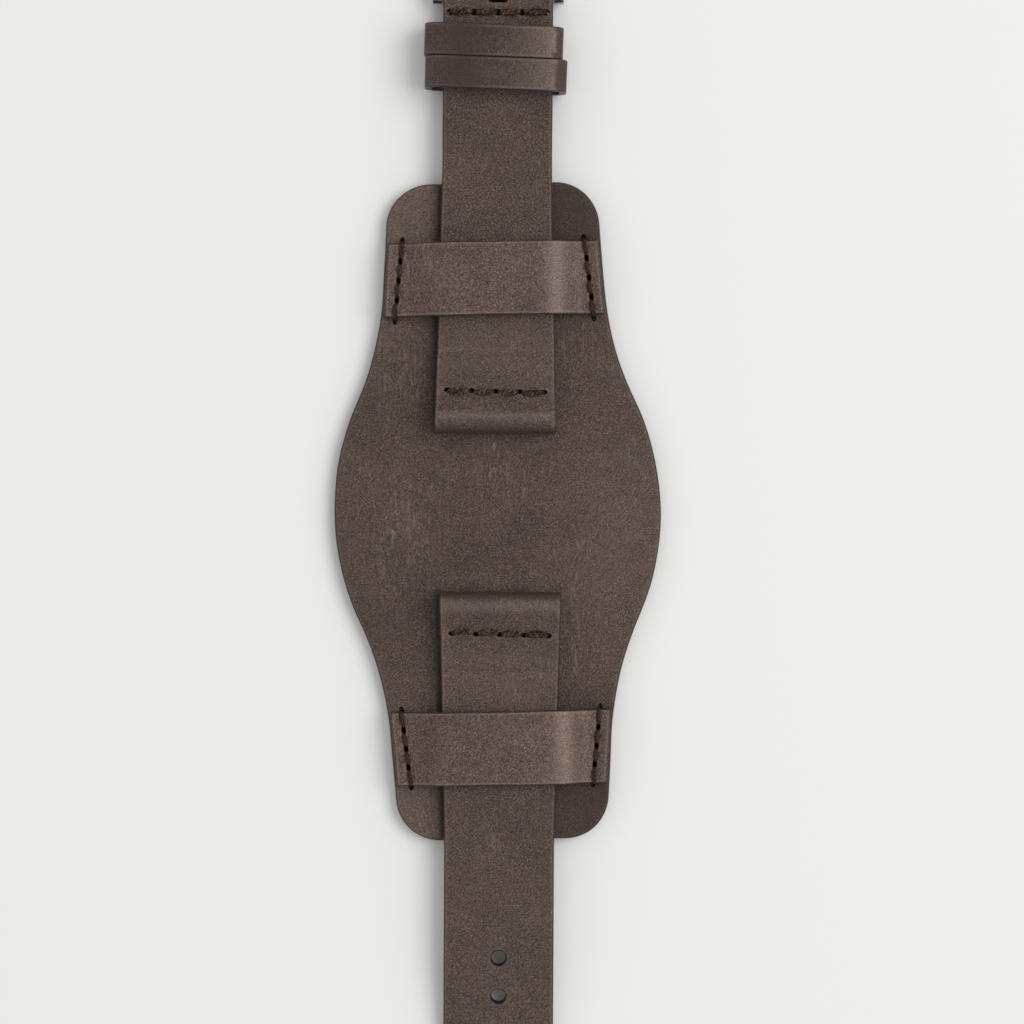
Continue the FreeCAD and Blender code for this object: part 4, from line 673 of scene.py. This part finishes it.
def twisted(line, across, width, fullness):
    """The plies twisted round a line of points and pressed flat, as points, faces and their lay.

    The lay gives the fibres their place: round the ply, along it, and apart from the other plies.
    """
    lay_girth, lay_apart = 1.6, 5.0
    ply = (width / ring_width * ply_radius * fullness)[:, None]
    way = np.gradient(line, axis=0)
    way /= np.linalg.norm(way, axis=1)[:, None]
    up = np.cross(way, across)
    up /= np.linalg.norm(up, axis=1)[:, None]
    level = np.cross(up, way)
    up = up * thread_flatness
    length = np.concatenate(([0], np.cumsum(np.linalg.norm(np.diff(line, axis=0), axis=1))))
    size = len(line) * ply_sides
    points, faces, lay = [], [], []
    for number in range(ply_count):
        turn = 2 * math.pi * (length / ply_lay + number / ply_count)
        core = line + (up * np.cos(turn)[:, None] + level * np.sin(turn)[:, None]) * ply * ply_place
        rings = []
        for i in range(ply_sides):
            angle = 2 * math.pi * i / ply_sides
            rings.append(core + (up * math.cos(angle) + level * math.sin(angle)) * ply)
        points.append(np.stack(rings, axis=1).reshape(-1, 3))
        lay.append(np.column_stack((np.tile(np.arange(ply_sides) / ply_sides * lay_girth, len(line)),
                                    np.repeat(length, ply_sides), np.full(size, number * lay_apart))))
        start = number * size
        for k in range(start, start + size - ply_sides, ply_sides):
            for i in range(ply_sides):
                a, b = k + i, k + (i + 1) % ply_sides
                faces.append((a, b, b + ply_sides, a + ply_sides))
        faces.append(tuple(start + i for i in reversed(range(ply_sides))))
        faces.append(tuple(start + size - ply_sides + i for i in range(ply_sides)))
    return np.vstack(points), faces, np.vstack(lay)


def stitch(start, end, first, last, crest, middle, drift):
    """One stitch between two hole centres, from its share of the way at first to that at last."""
    stitch_steps, dive, arch = 40, 0.8, 0.45
    wave = np.radians(np.linspace(180, 0, stitch_steps))[:-1]
    forth = np.sign(np.cos(wave)) * np.abs(np.cos(wave)) ** dive
    share = (first + last + (last - first) * forth) / 2
    way = end - start
    aside = np.array((-way[1], way[0])) / np.linalg.norm(way)
    slant, stray = drift
    plan = start + way * share[:, None] + aside * (slant * np.cos(wave) + stray)[:, None]
    return np.column_stack((plan, middle + (crest - middle) * np.sin(wave) ** arch))


def saddle_stitch(name, kind, holes, body, node):
    """One row: two threads that take turns above and below the leather, between hole centres."""
    slant, stray = 0.12, 0.07
    low, high = [corner[2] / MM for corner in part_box(node)]
    width, bite = thread_width[kind], thread_bite[kind]
    half = width / 2 * thread_flatness
    middle = (high + low) / 2
    holes = np.array(holes, float)
    points, faces, lay, sunk_wax_and_shade = [], [], [], []
    count = 0
    for thread in (0, 1):
        line = []
        for i in range(len(holes) - 1):
            share = bite / np.linalg.norm(holes[i + 1] - holes[i])
            above = (i + thread) % 2 == 0
            line.append(stitch(holes[i], holes[i + 1], 0.0 if i == 0 else share,
                               1.0 if i == len(holes) - 2 else 1 - share,
                               high - half if above else low + half, middle,
                               (slant if above else -slant,
                                stray * math.sin(5.1 * i + 2.3 * holes[0][0]))))
        line = np.vstack(line)
        smooth = (line[:-2] + 2 * line[1:-1] + line[2:]) / 4
        line = divided(np.vstack((line[:1], smooth, line[-1:])), thread_step, closed=False)
        row_way = holes[-1] - holes[0]
        across = np.array((-row_way[1], row_way[0], 0.0)) / np.linalg.norm(row_way)
        proud = np.clip(np.abs(line[:, 2] - middle) / (high - half - middle), 0, 1)
        fullness = drawn_thin + (1 - drawn_thin) * proud ** 2
        some, their_faces, their_lay = twisted(line, across, width, fullness)
        faces += [tuple(i + count for i in face) for face in their_faces]
        count += len(some)
        points.append(some)
        lay.append(their_lay)
        # Painted shade, with wax, on the thread where it sinks into its hole.
        dark = np.clip((hole_shade_from - proud) / hole_shade_fade, 0, 1)
        sunk_wax_and_shade.append(np.tile(np.repeat(dark, ply_sides), ply_count))
    piece = make_object(name, np.vstack(points), faces, [thread_finish[kind]],
                        {"sunk_wax_and_shade": np.concatenate(sunk_wax_and_shade)})
    attribute = piece.data.attributes.new("lay", "FLOAT_VECTOR", "POINT")
    attribute.data.foreach_set("vector", np.vstack(lay).astype(np.float32).ravel())
    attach(piece, body)
    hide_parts(node)


for end, end_name in ((1, "upper"), (-1, "lower")):
    for side_sign, side_name in ((-1, "left"), (1, "right")):
        row_name = "%s_%s" % (end_name, side_name)
        saddle_stitch("stitches_" + row_name, "band", turned(band_row(side_sign, end), pad_turn), "pad",
                      "bridge_thread_" + row_name)

# Buckle strap.
# One length of leather. It folds up at the watch and down at the buckle, and each skived end is
# turned back underneath and closed by a stitch row, which leaves a tunnel for a spring bar.

strap_base = 2.5
strap_thickness = 2.0
strap_top = strap_base + strap_thickness
lug_half_width = 10.0
taper_depth, taper_length = 1.0, 42.0
strap_softness = 0.35
strap_edge_rounding = 0.36
strap_slit = (1.0, 0.8)
strap_dimple = 0.2
lug_fold_place = 13.1
lug_wall, lug_bore = 1.45, 0.95
lug_axis = (lug_fold_place + lug_wall + lug_bore, strap_base + lug_wall + lug_bore)
lug_middle_radius = lug_bore + lug_wall / 2
lug_row = 19.85
lug_row_top = 5.7
lug_flap_end = 24.1
lug_flap_rise = 0.7
lug_flap_end_wall, lug_flap_row_wall = 0.7, 1.2
lug_flat_start = 26.85
bar_axis = (84.9, 2.25)
bar_wall, bar_tunnel = 1.4, 0.85
bar_middle_radius = bar_tunnel + bar_wall / 2
buckle_row = 81.7
buckle_flap_end = 67.7
buckle_flap_end_wall, buckle_flap_row_wall = 0.8, 1.1
buckle_skive = 4.5
slot_half_width, slot_from_bar = 1.4, 1.5
row_pitch = 3.92
row_sink = 0.02
strap_lie, strap_slack = math.radians(-0.29), 0.5

# The pale line of a fold (wax paling and painted highlight), its dark crown (wear and painted
# shade), and the paling over the end of its flap.
strap_fold = (0.955, 0.03, 0.94, 0.8)
strap_strain = 0.22


def laid_strap(points):
    """The buckle strap as it lies: a little askew from the spring bar, and slack towards the watch."""
    points = turned(points, strap_lie, (0.0, bar_axis[0]))
    reach = (bar_axis[0] - points[:, 1]) / (bar_axis[0] - lug_fold_place)
    points[:, 1] -= strap_slack * np.clip(reach, 0, 1)
    return points


def strap_half_width(along):
    """Half the strap's width: 20 mm at the lugs, drawn in to 18 mm over the taper."""
    taper = np.clip((np.abs(along) - lug_fold_place) / taper_length, 0, 1)
    return lug_half_width - taper_depth * taper


def lug_fold(sign):
    """Corners of the watch end in side view, from the turned-back flap up to the flat strap."""
    flap = [(y, strap_base + wall / 2, wall)
            for y, wall in ((lug_flap_end, lug_flap_end_wall), (lug_row, lug_flap_row_wall))]
    fold = [(y, z, lug_wall) for y, z in arc(lug_axis, lug_middle_radius, 270, 66, 0.3)]
    cover = [(y, top - strap_thickness / 2, strap_thickness)
             for y, top in ((lug_row, lug_row_top), (lug_flap_end, strap_top + lug_flap_rise),
                            (lug_flat_start, strap_top))]
    return [(sign * y, z, wall) for y, z, wall in flap + fold + cover]


def strap_outline(bend, half_width):
    """The cutting line of a strip: its width follows its place along the finished strap."""
    total = bend.length[-1]
    distances = np.linspace(0, total, int(total / 0.6))
    widths = half_width(bend.at(distances, 0))
    right = np.column_stack((widths, distances))
    loop = divided(np.vstack((right, right[::-1] * (-1, 1))), 0.75)
    uneven = ripple(loop[:, 0] * 0.4, loop[:, 1], 1.1)[:, None]
    return loop + outward(loop) * strip_cut_unevenness * uneven


def strap_row(along, sink):
    """Hole centres of a strap's stitch row in plan. The hand-pricked row sinks a little to the right."""
    across = (np.arange(row_holes) - (row_holes - 1) / 2) * row_pitch
    return np.column_stack((across, along - sink * across))


def row_on(bend, row, layer):
    """The same holes on the flat leather, on the layer that the strip passes first or second."""
    return [(x, bend.crossings(y)[layer]) for x, y in row]


corners = lug_fold(1)
corners += [(bar_axis[0] - buckle_skive, strap_top - strap_thickness / 2, strap_thickness)]
corners += [(y, z, bar_wall) for y, z in arc(bar_axis, bar_middle_radius, 90, -76, 0.3)]
corners += [(y, strap_base - wall / 2, wall)
            for y, wall in ((buckle_row, buckle_flap_row_wall), (buckle_flap_end, buckle_flap_end_wall))]
buckle_bend = Bend(corners, (1, 0, 0), (0, 1, 0), strap_softness)
lug_holes, end_holes = strap_row(lug_row, row_sink), strap_row(buckle_row, 0.0)
rows = [row_on(buckle_bend, row, layer) for row in (lug_holes, end_holes) for layer in (0, 1)]
slot_start, slot_end = buckle_bend.crossings(bar_axis[0] - slot_from_bar)
slot_corners = [(slot_half_width, slot_start), (slot_half_width, slot_end),
                (-slot_half_width, slot_end), (-slot_half_width, slot_start)]
strap_holes = [slit(hole, 0.0, *strap_slit) for row in rows for hole in row]
strap_holes.append(divided(slot_corners, 0.4))
outline = strap_outline(buckle_bend, strap_half_width)
strap_blank = Blank(outline, strap_edge_rounding, strap_holes, [(row[0], row[-1]) for row in rows])
strap_leather = waxed_leather("waxed_leather_strap", "#43322a", "#503d35", "#9a8578",
                              (90.0, 31.0, 2.0))
strap = make_object("strap_buckle_side", laid_strap(buckle_bend.shape(strap_blank, strap_dimple)),
                    strap_blank.faces, [strap_leather],
                    buckle_bend.marks(strap_blank, strain=strap_strain, fold=strap_fold))
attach(strap, "buckle_strap")
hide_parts("buckle_strap")
saddle_stitch("stitches_buckle_strap", "strap", laid_strap(lug_holes), "buckle_strap",
              "lug_thread_buckle_strap")
saddle_stitch("stitches_buckle_end", "strap", laid_strap(end_holes), "buckle_strap",
              "buckle_end_thread")

# Tail strap.
# The long piece with the holes. It folds up at the watch like the other, sinks from the pad to
# the table, and ends in a rounded point.

tail_tip = -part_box("tail_strap")[0][1] / MM
tip_radius, tip_blunt = 13.0, 2.0
tip_stretch, tip_steps = 12.0, 50
first_hole, hole_pitch, hole_count = 73.0, 6.25, 7
hole_radius = 1.15
tail_lie, tail_pivot = math.radians(-0.2), np.array((0.0, -155.0))


def tail_half_width(along):
    """Half the tail's width, with its rounded point."""
    straight = lug_half_width - taper_depth
    inset = tip_radius - straight + tip_blunt
    start = tail_tip - math.sqrt(tip_radius ** 2 - inset ** 2)
    past = np.clip(np.abs(along) - start, 0, tip_radius)
    point = straight - tip_radius + np.sqrt(tip_radius ** 2 - past ** 2)
    return np.where(np.abs(along) > start, np.maximum(point, tip_blunt), strap_half_width(along))


# The middle line of the tail, as place and height, where it sinks from its band to the table.
resting = strap_thickness / 2
droop = [(67.0, strap_top - strap_thickness / 2), (74.0, 3.19), (81.0, 2.25), (88.0, 1.31),
         (95.0, resting), (tail_tip, resting)]
corners = [(-y, z, strap_thickness) for y, z in reversed(droop)] + list(reversed(lug_fold(-1)))
tail_bend = Bend(corners, (1, 0, 0), (0, 1, 0), strap_softness)
lug_holes = strap_row(-lug_row, row_sink)
rows = [row_on(tail_bend, lug_holes, layer) for layer in (0, 1)]
holes = [slit(hole, 0.0, *strap_slit) for row in rows for hole in row]
hole_places = [tail_bend.crossings(-first_hole - hole_pitch * i)[0] for i in range(hole_count)]
punched = [arc((0, place), hole_radius, 0, 360, 0.32)[:-1] for place in hole_places]
total = tail_bend.length[-1]
distances = np.concatenate((np.linspace(0, tip_stretch, tip_steps),
                            np.linspace(tip_stretch, total, int(total / 0.6))[1:]))
right = np.column_stack((tail_half_width(tail_bend.at(distances, 0)), distances))
outline = divided(np.vstack((right, right[::-1] * (-1, 1))), 0.6)
tail_blank = Blank(outline, strap_edge_rounding, holes, [(row[0], row[-1]) for row in rows],
                   punched=punched)
tail = make_object("strap_tail_side",
                   turned(tail_bend.shape(tail_blank, strap_dimple), tail_lie, tail_pivot),
                   tail_blank.faces, [strap_leather],
                   tail_bend.marks(tail_blank, strain=strap_strain, fold=strap_fold))
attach(tail, "tail_strap")
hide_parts("tail_strap")
saddle_stitch("stitches_tail_strap", "strap", turned(lug_holes, tail_lie, tail_pivot), "tail_strap",
              "lug_thread_tail_strap")

# Keepers.
# Two closed loops of the same leather, cut as narrow strips and glued end to end underneath. They
# ride loose on the strap, a little askew, and hold the tail.

keeper_wall = 1.2
keeper_half_width = 2.65
keeper_half = 11.35
keeper_top = 7.7
keeper_corner = 2.4
keeper_softness = 0.3
keeper_edge_rounding = 0.24
keeper_glue_gap = 0.02

# How each loop lies: its turn in degrees, how far aside and along, and its stretch.
keeper_lies = {"keeper_upper": (-2.1, -0.7, -0.4, 1.0), "keeper_lower": (-2.1, -0.35, -0.2, 1.022)}

# Its finish: bends paled most on the right, a painted highlight; darker at a place left of the
# middle, with a reach; painted shade on its right side; and a painted highlight that grows paler
# towards a place on the right.
keeper_paling_and_highlight = (0.1, 0.8)
keeper_dark, dark_place, dark_reach = 0.85, -5.5, 4.0
keeper_side_shade, side_place = 0.7, 9.9
keeper_highlight, keeper_highlight_place, keeper_highlight_power = 0.8, 8.5, 1.5

half, top = keeper_half - keeper_wall / 2, keeper_top - keeper_wall / 2
low, corner = keeper_wall / 2, keeper_corner - keeper_wall / 2
loop = [(keeper_glue_gap, low)]
for (x, z), start in (((half - corner, low + corner), -90), ((half - corner, top - corner), 0),
                      ((corner - half, top - corner), 90), ((corner - half, low + corner), 180)):
    loop += [tuple(p) for p in arc((x, z), corner, start, start + 90, 0.25)]
loop.append((-keeper_glue_gap, low))
keeper_bend = Bend([(x, z, keeper_wall) for x, z in loop], (0, 1, 0), (1, 0, 0), keeper_softness)
total = keeper_bend.length[-1]
corners = [(-keeper_half_width, 0.0), (keeper_half_width, 0.0),
           (keeper_half_width, total), (-keeper_half_width, total)]
keeper_blank = Blank(divided(corners, 0.45), keeper_edge_rounding, pitch=0.7)
keeper_leather = waxed_leather("waxed_leather_keepers", "#31231c", "#46352e", "#9b8577",
                               (9.0, 77.0, 8.0), flecks=0.3)
for node, (skew, aside, back, stretch) in keeper_lies.items():
    low, high = [np.array(corner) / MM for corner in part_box(node)]
    middle = (low[1] + high[1]) / 2
    points = keeper_bend.shape(keeper_blank) * (stretch, 1.0, 1.0)
    values = keeper_bend.marks(keeper_blank, keeper_paling_and_highlight)
    across = points[:, 0]
    # A darker patch left of the middle, and painted shade on the right end where the loop turns down.
    dark = keeper_dark * np.exp(-((across - dark_place) / dark_reach) ** 2)
    dark = np.maximum(dark, keeper_side_shade * (across > side_place))
    values["rub"] = np.maximum(values["rub"], dark)
    # A painted highlight, stronger towards the window on the right.
    paler = keeper_highlight * np.clip(across / keeper_highlight_place, 0, 1) ** keeper_highlight_power
    values["pull_and_highlight"] = values["pull_and_highlight"] + paler * (across < side_place)
    points = turned(points, math.radians(skew)) + (aside, middle + back, 0)
    keeper = make_object(node.replace("keeper", "loop"), points, keeper_blank.faces, [keeper_leather],
                         values)
    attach(keeper, node)
    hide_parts(node)

# Pin buckle and its spring bar.
# A cast steel frame, ground and polished, with a bent wire tongue. The sprung tips of a turned
# steel bar sit in its lugs. These are the CAD's own solids with the finish of the real steel.


def polished_steel(name, colour, roughness, scratch_size):
    """Stainless steel, buffed on a wheel: a bright grey mirror with the finest hairlines."""
    smear_size, scratch_stretch, scratch_depth = 2.5, 0.06, 0.0015
    material, tree = bare_material(name)
    where = add_node(tree, "TexCoord").outputs["Object"]
    drawn = add_node(tree, "Mapping", {"Vector": where,
                                       "Scale": (scratch_stretch / MM, 1 / MM, 1 / MM)}).outputs[0]
    hairline = add_node(tree, "TexNoise", {"Vector": drawn, "Scale": 1 / scratch_size, "Detail": 4.0,
                                           "Roughness": 0.7}).outputs["Fac"]
    smear = add_node(tree, "TexNoise", {"Vector": where, "Scale": 1 / smear_size / MM,
                                        "Detail": 3.0}).outputs["Fac"]
    rough = add_node(tree, "MapRange", {"Value": smear, "From Min": 0.3, "From Max": 0.7,
                                        "To Min": roughness - 0.05,
                                        "To Max": roughness + 0.07}).outputs[0]
    bump = add_node(tree, "Bump", {"Height": hairline, "Distance": scratch_depth * MM,
                                   "Strength": 1.0}).outputs[0]
    finish = add_node(tree, "BsdfPrincipled", {"Base Color": linear(colour), "Metallic": 1.0,
                                               "Roughness": rough, "Normal": bump})
    add_node(tree, "OutputMaterial", {"Surface": finish.outputs[0]})
    return material


frame_steel = polished_steel("polished_stainless_steel", "#a8a7a3", 0.15, 0.12)
bar_steel = polished_steel("turned_stainless_steel", "#9b9a96", 0.26, 0.08)
for node, steel in (("buckle_frame", frame_steel), ("buckle_tongue", frame_steel),
                    ("spring_bar_tube", bar_steel), ("spring_bar_tip_left", bar_steel),
                    ("spring_bar_tip_right", bar_steel), ("spring_bar_spring", bar_steel)):
    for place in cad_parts[node].material_slots:
        place.material = steel

# Table, light and camera.
# The strap lies on a pale matt table under one wide soft window from the right.


def pale_card():
    """Matt white card: no gloss, a hint of warmth, and bright to the camera."""
    material, tree = bare_material("matt_white_card")
    finish = add_node(tree, "BsdfPrincipled", {"Base Color": linear("#f9f9f8"), "Roughness": 0.9,
                                               "Specular IOR Level": 0.0})
    add_node(tree, "OutputMaterial", {"Surface": finish.outputs[0]})
    return material


# The table lies a hair below the part, so that no two faces share its plane.
table_half, table_height = 3.0 / MM, -0.03
table = make_object("table", [(x * table_half, y * table_half, table_height)
                              for x, y in ((-1, -1), (1, -1), (1, 1), (-1, 1))],
                    [(0, 1, 2, 3)], [pale_card()])

world = bpy.data.worlds.new("studio")
bpy.context.scene.world = world
world.use_nodes = True
tree = world.node_tree
tree.nodes.clear()
sky_strength = 0.58
rays = add_node(tree, "LightPath").outputs
sky = add_node(tree, "Background", {"Color": linear("#ffffff"), "Strength": sky_strength}).outputs[0]
seen = add_node(tree, "Background", {"Color": linear("#f0f0ef"), "Strength": 1.0}).outputs[0]
direct = add_node(tree, "Math", {0: rays["Is Camera Ray"], 1: rays["Is Glossy Ray"]},
                  operation="MAXIMUM").outputs[0]
mixed = add_node(tree, "MixShader", {0: direct, 1: sky, 2: seen}).outputs[0]
add_node(tree, "OutputWorld", {"Surface": mixed})


def window(name, place, size, power):
    """A soft rectangular lamp that faces the strap."""
    lamp = bpy.data.lights.new(name, "AREA")
    lamp.shape = "RECTANGLE"
    lamp.size, lamp.size_y = size
    lamp.energy = power
    holder = bpy.data.objects.new(name, lamp)
    holder.location = place
    holder.rotation_euler = (-Vector(place)).to_track_quat("-Z", "Y").to_euler()
    bpy.context.scene.collection.objects.link(holder)


window("window_right", place=(1.15, 0.26, 1.5), size=(1.45, 1.2), power=16.5)

camera_place, camera_roll = (0.00238, -0.0001, 0.7), math.radians(0.09)
view_width, sensor_width = 0.1679, 36.0
camera = bpy.data.objects.new("camera", bpy.data.cameras.new("camera"))
camera.data.sensor_width = sensor_width
camera.data.lens = sensor_width * (camera_place[2] - pad_thickness * MM) / view_width
camera.location = camera_place
camera.rotation_euler = (0, 0, camera_roll)
camera.data.clip_start, camera.data.clip_end = 0.01, 20.0
bpy.context.scene.collection.objects.link(camera)
bpy.context.scene.camera = camera
bpy.context.scene.view_settings.view_transform = "Standard"
